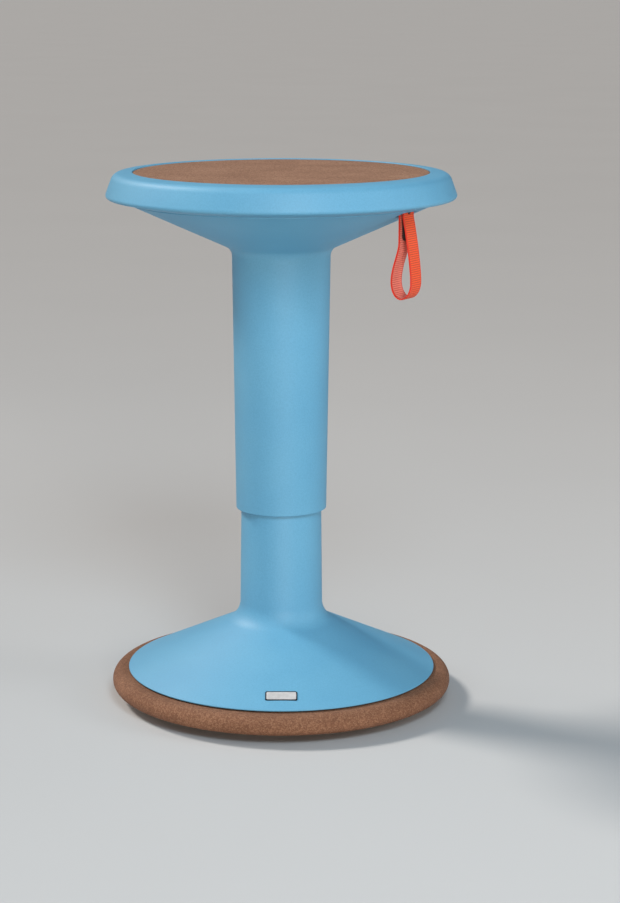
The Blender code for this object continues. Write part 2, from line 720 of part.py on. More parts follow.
def make_guide_bush():
    turned(
        "guide_bush",
        [
            (TUBE_RADIUS, bush_top),
            (TUBE_RADIUS, bush_top - BUSH_FLANGE),
            (tube_bore - GAP, bush_top - BUSH_FLANGE),
            (tube_bore - GAP, bush_top - BUSH_LENGTH),
            (bush_bore, bush_top - BUSH_LENGTH),
            (bush_bore, bush_top),
        ],
        nylon,
        TUBE_ROUND,
    )


def make_column_collar():
    under = collar_top - COLLAR_THICKNESS
    ring("column_collar", TUBE_RADIUS + GAP, collar_radius, under, collar_top, black)


def make_thrust_bearing():
    """Two races with the balls and their cage between them, as one ring."""
    lower_top = race_bottom + RACE_THICKNESS
    ring("lower_race", TUBE_FLOOR_HOLE, RACE_RADIUS, race_bottom, lower_top, steel, SMALL_ROUND)
    upper_top = upper_race_bottom + RACE_THICKNESS
    ring("upper_race", race_bore, RACE_RADIUS, upper_race_bottom, upper_top, steel, SMALL_ROUND)
    middle = (RACE_RADIUS + TUBE_FLOOR_HOLE) / 2
    waist = (bearing_top + bearing_bottom) / 2
    turned(
        "thrust_bearing",
        [
            (middle + BALL_RADIUS / 2, bearing_top),
            (RACE_RADIUS, waist),
            (middle + BALL_RADIUS / 2, bearing_bottom),
            (middle - BALL_RADIUS / 2, bearing_bottom),
            (TUBE_FLOOR_HOLE, waist),
            (middle - BALL_RADIUS / 2, bearing_top),
        ],
        steel,
        SMALL_ROUND,
    )


def make_screws(name, places, under_head, tip, sizes):
    for i, place in enumerate(places):
        screw(f"{name}_{i + 1}", place, under_head, tip, sizes, steel)


def make_foot_screws():
    ballast_tip = ballast_bore_bottom + SCREW_END_CLEARANCE / 2
    make_screws("ballast_screw", ballast_screw_places, ballast_top + GAP, ballast_tip, SMALL_SCREW)
    base_tip = base_bore_top - SCREW_END_CLEARANCE
    make_screws("base_screw", base_screw_places, base_screw_seat - 2 * GAP, base_tip, SMALL_SCREW)


def make_piston_rod():
    """The rod, with its head over the piston, its shoulder on the bearing and a groove for the clip."""
    head = ROD_RADIUS + RACE_THICKNESS
    turned(
        "piston_rod",
        [
            (0, piston_top + GAP + RACE_THICKNESS),
            (head, piston_top + GAP + RACE_THICKNESS),
            (head, piston_top + GAP),
            (ROD_RADIUS, piston_top + GAP),
            (ROD_RADIUS, shoulder),
            (rod_neck_radius, shoulder),
            (rod_neck_radius, groove_top),
            (groove_radius, groove_top),
            (groove_radius, groove_bottom),
            (rod_neck_radius, groove_bottom),
            (rod_neck_radius, groove_bottom - ROD_TAIL),
            (0, groove_bottom - ROD_TAIL),
        ],
        chrome,
        SMALL_ROUND,
        closed=False,
    )
    ring("piston", rod_bore, cylinder_bore - GAP, piston_bottom, piston_top, alloy, TUBE_ROUND)


def make_rod_fittings():
    """The washer and clip that hold the rod down, and the stop that the cylinder lands on."""
    washer_under = washer_top - RACE_THICKNESS
    ring("rod_washer", race_bore, WASHER_RADIUS, washer_under, washer_top, steel, SMALL_ROUND)
    clip_bore = groove_radius + GAP
    ring("rod_clip", clip_bore, CLIP_RADIUS, clip_top - CLIP_THICKNESS, clip_top, dark_steel, SMALL_ROUND)
    stop_top = shoulder + STOP_LENGTH
    outline = [
        (STOP_RADIUS, stop_top, STOP_RADIUS / 4),
        (STOP_RADIUS, shoulder),
        (rod_bore, shoulder),
        (rod_bore, stop_top),
    ]
    turned("bump_stop", rounded(outline), rubber, SMALL_ROUND)


def make_gas_cylinder():
    lip = cylinder_bore - CYLINDER_LIP / 2
    end_wall_under = cylinder_top - CYLINDER_END_WALL
    turned(
        "gas_cylinder",
        [
            (cylinder_top_radius, cylinder_top),
            (CYLINDER_RADIUS, taper_start),
            (CYLINDER_RADIUS, cylinder_bottom),
            (lip, cylinder_bottom),
            (lip, rod_guide_bottom - GAP),
            (cylinder_bore, rod_guide_bottom - GAP),
            (cylinder_bore, end_wall_under),
            (VALVE_RADIUS + GAP, end_wall_under),
            (VALVE_RADIUS + GAP, cylinder_top),
        ],
        dark_steel,
        TUBE_ROUND,
    )


def make_cylinder_fittings():
    outer = cylinder_bore - GAP
    ring("rod_guide", rod_bore, outer, rod_guide_bottom, rod_guide_top, nylon, TUBE_ROUND)
    ring("rod_seal", rod_bore, outer, rod_guide_top + GAP, seal_top - GAP, rubber, TUBE_ROUND)
    block_bottom = valve_block_top - VALVE_BLOCK_LENGTH
    ring("valve_block", VALVE_RADIUS + GAP, outer, block_bottom, valve_block_top, alloy, TUBE_ROUND)


def make_seat_lower_shell():
    spigot = parting_radius - GAP
    spigot_top = parting_height + SPIGOT_HEIGHT
    inside = spigot - SPIGOT_WALL
    corner, end = seat_outline(0.0, 0.0)
    outer = [(spigot, spigot_top), (spigot, cone_height_at(spigot)), corner, (*end, SLEEVE_EDGE_FILLET)]
    inner = seat_outline(CONE_WALL, SLEEVE_WALL)[::-1]
    inner += [(inside, cone_height_at(inside, CONE_WALL)), (inside, spigot_top)]
    shell = turned("seat_lower_shell", rounded(outer + inner), blue)
    root = cone_height_at(seat_screw_circle, CONE_WALL / 2)
    slopes = (math.tan(SEAT_SLOPE), 0.0)
    join(shell, posts("lower_bosses", seat_screw_places, small_boss, root, seat_split, slopes=slopes))
    above = seat_split + GAP
    cut(shell, posts("lower_bores", seat_screw_places, small_bore, seat_bore_bottom, above, SCREW_ROUND))
    middle = cone_height_at(strap_x)
    slot_low = (strap_x - slot_half_width, -slot_half_length, middle - PAST)
    slot_high = (strap_x + slot_half_width, slot_half_length, middle + PAST)
    cut(shell, block("strap_slot", slot_low, slot_high))


def seat_top_outline():
    """The floor's upper side out to the rim, over the rim, and back along its inside under the floor."""
    crown_x = SEAT_RADIUS - RIM_CROWN_INSET
    crown_z = SEAT_HEIGHT - RIM_CROWN_DROP
    rim_foot_x = SEAT_RADIUS + RIM_FOOT_OVERRUN
    rim_foot_z = SEAT_HEIGHT - RIM_FOOT_DROP
    return rounded(
        [
            (0, seat_floor_top),
            (recess_radius, seat_floor_top),
            (recess_radius, SEAT_HEIGHT),
            (crown_x, crown_z, RIM_CROWN_FILLET),
            (rim_foot_x, rim_foot_z, RIM_FOOT_FILLET),
            (parting_radius, parting_height),
            (parting_radius, parting_height + RIM_WALL),
            (rim_foot_x - RIM_FOOT_WALL, rim_foot_z + RIM_WALL),
            (crown_x - RIM_WALL, crown_z - RIM_WALL, RIM_CROWN_FILLET - RIM_WALL),
            (recess_radius + RIM_WALL, crown_z - RIM_WALL),
            (recess_radius + RIM_WALL, seat_floor_under),
            (0, seat_floor_under),
        ]
    )


def make_seat_top_shell():
    shell = turned("seat_top_shell", seat_top_outline(), blue, closed=False)
    rib_low = (RIB_INNER, -RIB_WIDTH / 2, seat_floor_under - RIB_HEIGHT)
    for i, angle in enumerate(RIB_ANGLES):
        rib = block(f"seat_rib_{i + 1}", rib_low, (rib_outer, RIB_WIDTH / 2, seat_floor_middle))
        rib.rotation_euler.z = math.radians(angle)
        join(shell, rib)
    join(shell, posts("upper_bosses", seat_screw_places, small_boss, seat_split + GAP, seat_floor_middle))
    join(shell, posts("hub_bosses", hub_screw_places, large_boss, seat_plate_top + GAP, seat_floor_middle))
    head = SMALL_SCREW[1] + GAP
    cut(shell, posts("screw_recesses", seat_screw_places, head, seat_screw_seat - GAP, SEAT_HEIGHT))
    below = seat_split - PAST
    cut(shell, posts("upper_bores", seat_screw_places, small_bore, below, SEAT_HEIGHT, SCREW_ROUND))
    cut(shell, posts("hub_bores", hub_screw_places, large_bore, seat_plate_under, hub_bore_top, SCREW_ROUND))


def make_seat_pad():
    pad_under = pad_top - PAD_THICKNESS
    outline = [(0, pad_top), (pad_radius, pad_top, PAD_EDGE_FILLET), (pad_radius, pad_under), (0, pad_under)]
    turned("seat_pad", rounded(outline), brown, closed=False)


def make_taper_hub():
    outline = [
        (HUB_FLANGE_RADIUS, hub_top),
        (HUB_FLANGE_RADIUS, hub_flange_under),
        (hub_neck_radius, hub_flange_under, HUB_FILLET),
        (hub_neck_radius, hub_bottom),
        (CYLINDER_RADIUS + GAP, hub_bottom),
        (CYLINDER_RADIUS + GAP, taper_start),
        (cylinder_top_radius + GAP, hub_top),
    ]
    hub = turned("taper_hub", rounded(outline), alloy, TUBE_ROUND)
    below = hub_flange_under - GAP
    cut(hub, posts("flange_holes", hub_screw_places, large_bore, below, hub_top + GAP, SCREW_ROUND))


def make_seat_plate():
    heights = (seat_plate_under, seat_plate_top)
    floor = ring("seat_plate", seat_plate_hole, seat_plate_radius, *heights, steel, TUBE_ROUND)
    above = seat_plate_top + GAP
    cut(floor, posts("plate_screw_holes", hub_screw_places, large_bore, hub_top, above, SCREW_ROUND))


def make_seat_screws():
    seat_tip = seat_bore_bottom + SCREW_END_CLEARANCE
    make_screws("seat_screw", seat_screw_places, seat_screw_seat, seat_tip, SMALL_SCREW)
    hub_tip = hub_bore_top - SCREW_END_CLEARANCE
    make_screws("hub_screw", hub_screw_places, hub_flange_under - GAP, hub_tip, LARGE_SCREW)


def make_lever_bracket():
    """A channel on the seat plate whose two ears hold the lever's pivot pin."""
    low = LEVER_PIVOT_X - BRACKET_LENGTH / 2
    high = LEVER_PIVOT_X + BRACKET_LENGTH / 2
    floor = seat_plate_top + GAP
    top = lever_pivot_height + PIVOT_PIN_RADIUS + BRACKET_EAR_WALL
    outside = bracket_ear_outside
    bracket = block("lever_bracket", (low, -outside, floor), (high, outside, top), steel)
    channel_low = (low - GAP, -bracket_ear_inside, floor + BRACKET_WALL)
    cut(bracket, block("bracket_channel", channel_low, (high + GAP, bracket_ear_inside, top + GAP)))
    pin_half = outside + PIVOT_PIN_OVERHANG
    cut(bracket, cross_bar("bracket_bore", LEVER_PIVOT_X, lever_pivot_height, pivot_bore, pin_half))
    cross_bar("lever_pivot_pin", LEVER_PIVOT_X, lever_pivot_height, PIVOT_PIN_RADIUS, pin_half, chrome)


def make_release_lever():
    """A flat lever from its pivot eye to the tip, where two ears hold the strap pin."""
    half = LEVER_WIDTH / 2
    tail = LEVER_PIVOT_X - LEVER_TAIL
    lever = block("release_lever", (tail, -half, lever_under), (strap_x, half, lever_top), steel)
    low = strap_x - LEVER_TIP_LENGTH / 2
    high = strap_x + LEVER_TIP_LENGTH / 2
    join(lever, block("lever_tip", (low, -lever_tip_half, lever_under), (high, lever_tip_half, lever_top)))
    ear_bottom = strap_pin_height - strap_bore - LEVER_EAR_RIM
    for name, side in (("right", -1), ("left", 1)):
        inside, outside = sorted((side * lever_tip_half, side * (lever_tip_half - LEVER_EAR_WALL)))
        ear = block(f"lever_ear_{name}", (low, inside, ear_bottom), (high, outside, lever_pivot_height))
        join(lever, ear)
    eye = pivot_bore + LEVER_EYE_WALL
    join(lever, cross_bar("lever_eye", LEVER_PIVOT_X, lever_pivot_height, eye, half - GAP))
    cut(lever, cross_bar("lever_bore", LEVER_PIVOT_X, lever_pivot_height, pivot_bore, LEVER_WIDTH))
    at_pin = (strap_x, strap_pin_height)
    cut(lever, cross_bar("ear_bores", *at_pin, strap_bore, STRAP_WIDTH, segments=SCREW_ROUND))
    cross_bar("strap_pin", *at_pin, STRAP_PIN_RADIUS, strap_pin_half, chrome, segments=SCREW_ROUND)


def make_valve_pin():
    collar = VALVE_RADIUS + VALVE_COLLAR_STEP
    collar_top = valve_collar_bottom + VALVE_COLLAR
    pin_bottom = valve_block_top - VALVE_BLOCK_LENGTH / 2
    turned(
        "valve_pin",
        [
            (0, lever_under - GAP),
            (VALVE_RADIUS, lever_under - GAP),
            (VALVE_RADIUS, collar_top),
            (collar, collar_top),
            (collar, valve_collar_bottom),
            (VALVE_RADIUS, valve_collar_bottom),
            (VALVE_RADIUS, pin_bottom),
            (0, pin_bottom),
        ],
        chrome,
        SMALL_ROUND,
        closed=False,
    )


def strap_side(offset):
    """The strap's outline on one side of its centreline, over the bottom of the loop and back up."""
    radius = STRAP_LOOP_RADIUS + offset
    half = strap_leg + offset
    loop_height = strap_pin_height - STRAP_LENGTH + STRAP_THICKNESS / 2 + STRAP_LOOP_RADIUS
    rise = tongue_bottom - loop_height
    lean = math.atan2(rise, half) - math.acos(radius / math.hypot(rise, half))
    angles = [lean - (math.pi + 2 * lean) * k / LOOP_STEPS for k in range(LOOP_STEPS + 1)]
    arc = [(radius * math.cos(a), loop_height + radius * math.sin(a)) for a in angles]
    ends = [(half, strap_end_height), (half, tongue_bottom)]
    return ends + arc + [(-x, z) for x, z in ends[::-1]]


def hang_flat(piece):
    """Stands a flat piece up in the XZ plane, at the strap's place along the lever."""
    piece.rotation_euler.x = math.radians(90)
    piece.location.x = strap_x


def make_strap():
    """A loop of webbing whose ends are riveted on a tongue, which hangs on the strap pin."""
    outline = strap_side(STRAP_THICKNESS / 2) + strap_side(-STRAP_THICKNESS / 2)[::-1]
    loop = plate("strap_loop", outline, STRAP_WIDTH, orange)
    edge = TONGUE_THICKNESS / 2
    tongue_outline = rounded(
        [
            (edge, strap_pin_height),
            (edge, tongue_bottom, TONGUE_THICKNESS / 3),
            (-edge, tongue_bottom, TONGUE_THICKNESS / 3),
            (-edge, strap_pin_height),
        ]
    )
    tongue = plate("strap_tongue", tongue_outline, TONGUE_WIDTH, black)
    hang_flat(loop)
    hang_flat(tongue)
    eye = strap_bore + TONGUE_EYE_WALL
    join(tongue, cross_bar("tongue_eye", strap_x, strap_pin_height, eye, TONGUE_WIDTH / 2 - GAP))
    pin_hole = cross_bar("tongue_bore", strap_x, strap_pin_height, strap_bore, TONGUE_WIDTH, segments=SCREW_ROUND)
    cut(tongue, pin_hole)
    bore = (RIVET_RADIUS + GAP, rivet_reach + PAST)
    hole = cross_bar("rivet_bore", strap_x, rivet_height, *bore, axis="X", segments=SCREW_ROUND)
    cut(loop, hole)
    cut(tongue, hole)


def make_rivet():
    rivet = turned(
        "strap_rivet",
        [
            (0, rivet_reach),
            (RIVET_HEAD_RADIUS, rivet_reach),
            (RIVET_HEAD_RADIUS, rivet_half),
            (RIVET_RADIUS, rivet_half),
            (RIVET_RADIUS, -rivet_half),
            (RIVET_HEAD_RADIUS, -rivet_half),
            (RIVET_HEAD_RADIUS, -rivet_reach),
            (0, -rivet_reach),
        ],
        steel,
        SCREW_ROUND,
        closed=False,
    )
    rivet.rotation_euler.y = math.radians(90)
    rivet.location = (strap_x, 0, rivet_height)


def hang_on_axes():
    """An empty on each joint's axis, and the pieces that move with it."""
    bpy.context.view_layer.update()
    swivel = axis_empty("seat_swivel_axis", (0, 0, shoulder))
    height = axis_empty("height_adjust_axis", (0, 0, cylinder_bottom), swivel)
    lever = axis_empty("lever_pivot_axis", (LEVER_PIVOT_X, 0, lever_pivot_height), height)
    valve = axis_empty("valve_pin_axis", (0, 0, lever_under), height)
    strap = axis_empty("strap_swing_axis", (strap_x, 0, strap_pin_height), lever)
    hang(swivel, ("piston", "upper_race", "rod_washer", "rod_clip", "bump_stop"))
    hang(height, ("gas_cylinder", "rod_guide", "rod_seal", "valve_block", "seat_", "taper_hub", "hub_screw_"))
    hang(height, ("lever_bracket", "lever_pivot_pin"))
    hang(lever, ("release_lever", "strap_pin"))
    hang(valve, ("valve_pin",))
    hang(strap, ("strap_loop", "strap_tongue", "strap_rivet"))


start_scene()

blue = material("sky_blue_moulding", (0.16, 0.45, 0.72), 0.42)
brown = material("brown_speckled_tread", (0.31, 0.17, 0.11), 0.85)
orange = material("orange_webbing", (0.78, 0.16, 0.06), 0.8)
black = material("black_moulding", (0.02, 0.02, 0.02), 0.45)
silver = material("silver_badge", (0.75, 0.76, 0.78), 0.3, 1.0)
steel = material("zinc_plated_steel", (0.62, 0.63, 0.65), 0.35, 1.0)
dark_steel = material("black_steel_tube", (0.03, 0.03, 0.035), 0.4, 0.6)
chrome = material("ground_steel_rod", (0.75, 0.75, 0.76), 0.15, 1.0)
iron = material("cast_iron_weight", (0.09, 0.09, 0.095), 0.75, 0.6)
nylon = material("white_acetal", (0.80, 0.80, 0.77), 0.4)
rubber = material("black_rubber", (0.02, 0.02, 0.02), 0.75)
alloy = material("die_cast_alloy", (0.55, 0.56, 0.57), 0.45, 1.0)

make_foot_shell()
make_tread()
make_base_plate()
make_ballast()
make_stand_tube()
make_guide_bush()
make_column_collar()
make_badge()
make_thrust_bearing()
make_foot_screws()
make_piston_rod()
make_rod_fittings()
make_gas_cylinder()
make_cylinder_fittings()
make_seat_lower_shell()
make_seat_top_shell()
make_seat_pad()
make_taper_hub()
make_seat_plate()
make_seat_screws()
make_lever_bracket()
make_release_lever()
make_valve_pin()
make_strap()
make_rivet()
hang_on_axes()
for piece in stool.objects:
    if piece.type == "MESH":
        smooth(piece)
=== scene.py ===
"""The looks of a height-adjustable wobble stool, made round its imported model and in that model's frame.

Metres, +Z up. The column stands on the origin, and +X points at the pull strap.
"""

import json
import math

import bmesh
import bpy
from mathutils import Matrix, Vector


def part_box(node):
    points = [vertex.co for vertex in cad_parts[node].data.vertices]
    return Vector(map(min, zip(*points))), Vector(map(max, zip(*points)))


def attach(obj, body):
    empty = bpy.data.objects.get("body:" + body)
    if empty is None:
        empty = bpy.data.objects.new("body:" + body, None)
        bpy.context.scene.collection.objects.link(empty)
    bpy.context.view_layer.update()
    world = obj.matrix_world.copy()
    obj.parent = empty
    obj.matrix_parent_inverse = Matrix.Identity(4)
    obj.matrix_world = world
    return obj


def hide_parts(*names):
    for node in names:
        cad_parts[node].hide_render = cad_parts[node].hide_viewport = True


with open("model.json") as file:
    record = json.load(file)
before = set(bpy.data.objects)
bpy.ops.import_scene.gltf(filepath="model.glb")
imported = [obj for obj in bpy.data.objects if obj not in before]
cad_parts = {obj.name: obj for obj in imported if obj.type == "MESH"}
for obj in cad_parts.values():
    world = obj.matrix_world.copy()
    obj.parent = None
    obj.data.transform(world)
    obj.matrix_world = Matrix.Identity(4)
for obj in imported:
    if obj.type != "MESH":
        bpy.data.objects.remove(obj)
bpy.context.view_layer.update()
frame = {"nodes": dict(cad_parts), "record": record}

MM = 0.001

# How finely the pieces are made
ROUND = 224  # segments round the seat, the column and the foot
SMALL_ROUND = 48
ARC_STEP = math.radians(9)  # of a rounded edge
WELD = 0.001 * MM
SHARP = math.radians(32)
FIT = 0.3 * MM  # gap between pieces that touch

# Seat rim
RIM_WALL = 3.5 * MM
RIM_LIP = 0.9 * MM  # rounding of the rim beside the pad
CROWN_INSET = 7.35 * MM  # of the rim's upper corner from the seat's radius
CROWN_DROP = 1.8 * MM
CROWN_ROUNDING = 9.5 * MM
RIM_FOOT_OVERRUN = 1.2 * MM  # of the rim's lower corner, before it is rounded
RIM_FOOT_DROP = 25.1 * MM
RIM_FOOT_ROUNDING = 3.2 * MM
BAND_DROP = 30.0 * MM  # of the line where the two seat mouldings meet
BAND_EDGE = 0.5 * MM
TUCK = 1.6 * RIM_WALL  # how far the rim's inner face keeps from its lower corner
SEAT_FLOOR = 4.0 * MM
RIB_ANGLES = (60, 150, 240, 330)
RIB_INNER = 20 * MM
RIB_OUTER = 140 * MM
RIB_WIDTH = 2.5 * MM
RIB_HEIGHT = 6.0 * MM

# Mat
MAT_PRESSED = 9.0 * MM  # width of the pressed edge
MAT_DROP = 0.25 * MM
MAT_EDGE = 0.8 * MM

# Seat cone and sleeve
SEAT_SLOPE = math.radians(24.3)
CONE_STEP = 0.7 * MM  # small upright edge of the cone under the rim's band
CONE_WALL = 3.3 * MM
SLEEVE_RADIUS = 49.0 * MM  # where it leaves the cone
SLEEVE_WALL = 3.0 * MM
SLEEVE_TAPER = 0.0135
SLEEVE_ROUNDING = 11.0 * MM
SLEEVE_EDGE = 0.8 * MM
SPIGOT_WALL = 2.7 * MM
SPIGOT_RISE = 7.0 * MM  # over the line where the two seat mouldings meet
SPIGOT_EDGE = 0.4 * MM
SPIGOT_FOOT_EDGE = 0.3 * MM
SLOT_WIDTH = 11.9 * MM
SLOT_LENGTH = 26.4 * MM
SLOT_CORNER = 3.0 * MM
SLOT_CUT = 30 * MM  # height of the tool that cuts the slot

# Foot
FOOT_EDGE_HEIGHT = 30.0 * MM
FOOT_SLOPE = math.radians(24.8)
FOOT_WALL = 3.5 * MM
FOOT_EDGE = 0.9 * MM
FOOT_INNER_EDGE = 0.3 * MM
FLARE_ROUNDING = 23.0 * MM
COLUMN_WALL = 3.0 * MM
COLUMN_TAPER = 0.012
COLUMN_RADIUS = 41.8 * MM  # at the flare
COLUMN_EDGE = 0.8 * MM
TREAD_FLAT = 75 * MM
TREAD_CURVE = 450 * MM
TREAD_SKIN = 6.0 * MM
TREAD_BULGE_RISE = 6.8 * MM  # of the tread's widest line over the end of the rocking curve
TREAD_SHOULDER = 10.5 * MM
ROLL_STEPS = 12

# Screws and their bosses
BOSS_RADIUS = 6.0 * MM
BOSS_FOOT = 20.5 * MM  # height of the lower end of the base screws' bosses
BOSS_SPLIT_DROP = 22.8 * MM  # of the plane where the two seat mouldings' bosses meet
BORE_RADIUS = 2.3 * MM
HEAD_BORE_RADIUS = 4.1 * MM
HEAD_HEIGHT = 2.2 * MM
SCREW_CIRCLE = 125 * MM
BASE_SCREW_ANGLES = (0, 60, 120, 180, 240, 300)
SEAT_SCREW_ANGLES = (30, 90, 150, 210, 270, 330)
HUB_SCREW_CIRCLE = 40 * MM
HUB_SCREW_ANGLES = (45, 135, 225, 315)
HUB_BOSS_RADIUS = 7.0 * MM
HUB_BORE_RADIUS = 3.3 * MM

# Pull strap: grosgrain webbing
WEBBING = 1.1 * MM  # between its ribs
RIB_PITCH = 2.1 * MM
RIB_RISE = 0.16 * MM
RIB_SAMPLES = 6
SELVEDGE = 1.5 * MM
SELVEDGE_RISE = 0.9 * RIB_RISE
FOLD = 0.4 * MM  # outermost strip, where the webbing thins
FOLD_SINK = 0.12 * MM
YARN_PITCH = 0.8 * MM
STRAP_ROWS = 26
LEG_OFFSET = 2.15 * MM  # of each leg's middle from the strap's middle, beside the tongue
OUTER_REACH = 11.2 * MM  # of the outer leg from the strap's middle, where the loop is widest
INNER_REACH = 10.4 * MM
LOOP_RISE = 16 * MM  # of the loop's widest place over its lowest
OUTER_BOW = Vector((3.2 * MM, -14 * MM))  # how the outer leg sets off from the slot
LEG_EASE = Vector((0, 12 * MM))  # how long the inner leg keeps on down from the tongue's end
LOOP_EASE = Vector((0, 15 * MM))  # how long each leg keeps on up from the loop's widest place
STRAP_STEPS = 40

# Tongue and rivet
TONGUE_THICKNESS = 2.4 * MM
TONGUE_CORNER = 4.5 * MM
TONGUE_EDGE = 0.6 * MM
EYE_RADIUS = 3.0 * MM
EYE_BORE_RADIUS = 1.6 * MM
SHANK_RADIUS = 1.2 * MM
RIVET_HEAD_HEIGHT = 0.7 * MM
RIVET_DOME = 0.5 * MM

# Badge
BADGE_LENGTH = 31.0 * MM
BADGE_DEPTH = 12.6 * MM
BADGE_THICKNESS = 1.1 * MM
BADGE_CORNER = 2.2 * MM
BADGE_BORDER = 0.8 * MM
BADGE_EDGE = 0.2 * MM
BADGE_STEP = 0.1 * MM  # width of the step from border to face
BADGE_SINK = 0.12 * MM
BADGE_CUT = 6 * MM  # height of the tool that cuts the badge's pocket

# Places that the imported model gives
rim_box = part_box("seat_top_shell")
cone_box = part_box("seat_lower_shell")
pad_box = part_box("seat_pad")
foot_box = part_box("foot_shell")
tread_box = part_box("tread")
strap_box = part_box("strap_loop")
tongue_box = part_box("strap_tongue")
badge_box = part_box("badge_plate")
rim_top = rim_box[1].z
seat_radius = rim_box[1].x
pad_radius = pad_box[1].x
recess_radius = pad_radius + FIT
floor_top = pad_box[0].z - FIT
floor_under = floor_top - SEAT_FLOOR
parting_radius = cone_box[1].x + FIT
parting_height = rim_top - BAND_DROP
sleeve_bottom = cone_box[0].z
spigot_top = parting_height + SPIGOT_RISE
boss_split = rim_top - BOSS_SPLIT_DROP
hub_boss_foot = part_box("seat_plate")[1].z + FIT
column_top = foot_box[1].z
foot_radius = foot_box[1].x
tread_radius = tread_box[1].x
tread_top = tread_box[1].z
strap_x = (strap_box[0].x + strap_box[1].x) / 2
strap_top = strap_box[1].z
strap_bottom = strap_box[0].z
strap_width = strap_box[1].y - strap_box[0].y
slot_height = parting_height - math.tan(SEAT_SLOPE) * (parting_radius - strap_x) - CONE_WALL


# ---------------------------------------------------------------- making pieces


def rounded(corners):
    """The outline through the corners (radius, height) or (radius, height, rounding), with its arcs."""
    path = []
    for i, corner in enumerate(corners):
        here = Vector(corner[:2])
        if len(corner) == 2:
            path.append(here)
            continue
        before = (Vector(corners[i - 1][:2]) - here).normalized()
        after = (Vector(corners[(i + 1) % len(corners)][:2]) - here).normalized()
        half = before.angle(after) / 2
        centre = here + (before + after).normalized() * corner[2] / math.sin(half)
        start = here + before * corner[2] / math.tan(half) - centre
        end = here + after * corner[2] / math.tan(half) - centre
        turn = math.atan2(start.x * end.y - start.y * end.x, start.dot(end))
        steps = max(3, math.ceil(abs(turn) / ARC_STEP))
        path += [centre + Matrix.Rotation(turn * k / steps, 2) @ start for k in range(steps + 1)]
    return path


def tidy(bm):
    """Joins the points that coincide, and turns all faces outward."""
    bmesh.ops.remove_doubles(bm, verts=bm.verts, dist=WELD)
    bmesh.ops.recalc_face_normals(bm, faces=bm.faces)
    return bm


def turned(outline, segments=ROUND, closed=True, axis="Z"):
    """A solid turned about its axis, from an outline that closes on itself or on the axis."""
    bm = bmesh.new()
    points = [bm.verts.new((r, 0, z)) for r, z in outline]
    edges = [bm.edges.new(pair) for pair in zip(points, points[1:])]
    if closed:
        edges.append(bm.edges.new((points[-1], points[0])))
    bmesh.ops.spin(
        bm,
        geom=points + edges,
        cent=(0, 0, 0),
        axis=(0, 0, 1),
        angle=2 * math.pi,
        steps=segments,
        use_merge=True,
    )
    if axis != "Z":
        turn = Matrix.Rotation(math.pi / 2, 3, "Y" if axis == "X" else "X")
        bmesh.ops.rotate(bm, verts=bm.verts, cent=(0, 0, 0), matrix=turn)
    return tidy(bm)


def posts(places, radius, bottom, top, slopes=(0.0, 0.0)):
    """Upright round posts. Their lower and upper ends can rise away from the column, by the two slopes."""
    bm = bmesh.new()
    for x, y in places:
        middle = Matrix.Translation((x, y, (bottom + top) / 2))
        made = bmesh.ops.create_cone(
            bm,
            cap_ends=True,
            segments=SMALL_ROUND,
            radius1=radius,
            radius2=radius,
            depth=top - bottom,
            matrix=middle,
        )
        for vert in made["verts"]:
            slope = slopes[vert.co.z > (bottom + top) / 2]
            vert.co.z += slope * (math.hypot(vert.co.x, vert.co.y) - math.hypot(x, y))
    return bm


def slab(size, place, corner=0.0, segments=6):
    """A box whose upright edges are rounded."""
    bm = bmesh.new()
    bmesh.ops.create_cube(bm, size=1.0, matrix=Matrix.Diagonal((*size, 1.0)))
    if corner:
        upright = [e for e in bm.edges if abs(e.verts[0].co.z - e.verts[1].co.z) > size[2] / 2]
        bevel(bm, upright, corner, segments)
    bmesh.ops.translate(bm, verts=bm.verts, vec=place)
    return bm


def bevel(bm, edges, width, segments):
    """Rounds the edges, each strip in its neighbours' material."""
    bmesh.ops.bevel(
        bm, geom=edges, affect="EDGES", offset=width, segments=segments, profile=0.5, material=-1
    )


def as_object(bm, name):
    """Puts a bmesh into the scene under this name, and frees it."""
    mesh = bpy.data.meshes.new(name)
    bm.to_mesh(mesh)
    bm.free()
    obj = bpy.data.objects.new(name, mesh)
    bpy.context.scene.collection.objects.link(obj)
    return obj


def carve(body, tool, operation="DIFFERENCE"):
    """Cuts one closed bmesh with another, or joins them, and returns the result."""
    piece = as_object(body, "body")
    other = as_object(tool, "tool")
    boolean = piece.modifiers.new("carve", "BOOLEAN")
    boolean.operation = operation
    boolean.solver = "EXACT"
    boolean.object = other
    depsgraph = bpy.context.evaluated_depsgraph_get()
    mesh = bpy.data.meshes.new_from_object(piece.evaluated_get(depsgraph))
    result = bmesh.new()
    result.from_mesh(mesh)
    for used in (piece, other):
        bpy.data.objects.remove(used)
    return result


def show(bm, name, node, looks):
    """The finished piece, which stands for a CAD node and moves with its body."""
    obj = as_object(bm, name)
    for look in looks:
        obj.data.materials.append(look)
    obj.data.shade_smooth()
    obj.data.set_sharp_from_angle(angle=SHARP)
    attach(obj, body_of[node])
    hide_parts(node)
    return obj


def on_circle(radius, angles):
    """Places (x, y) round the column, at angles in degrees."""
    return [(radius * math.cos(math.radians(a)), radius * math.sin(math.radians(a))) for a in angles]


body_of = {node: body for body, nodes in frame["record"]["behaviour"]["bodies"].items() for node in nodes}
slot_of = {part["node"]: part["material_slot"] for part in frame["record"]["subparts"]}


# ---------------------------------------------------------------- materials


def linear(hex_colour):
    """A linear colour from an sRGB hex value."""
    shares = [int(hex_colour[i : i + 2], 16) / 255 for i in (1, 3, 5)]
    return (*[s / 12.92 if s <= 0.04045 else ((s + 0.055) / 1.055) ** 2.4 for s in shares], 1.0)


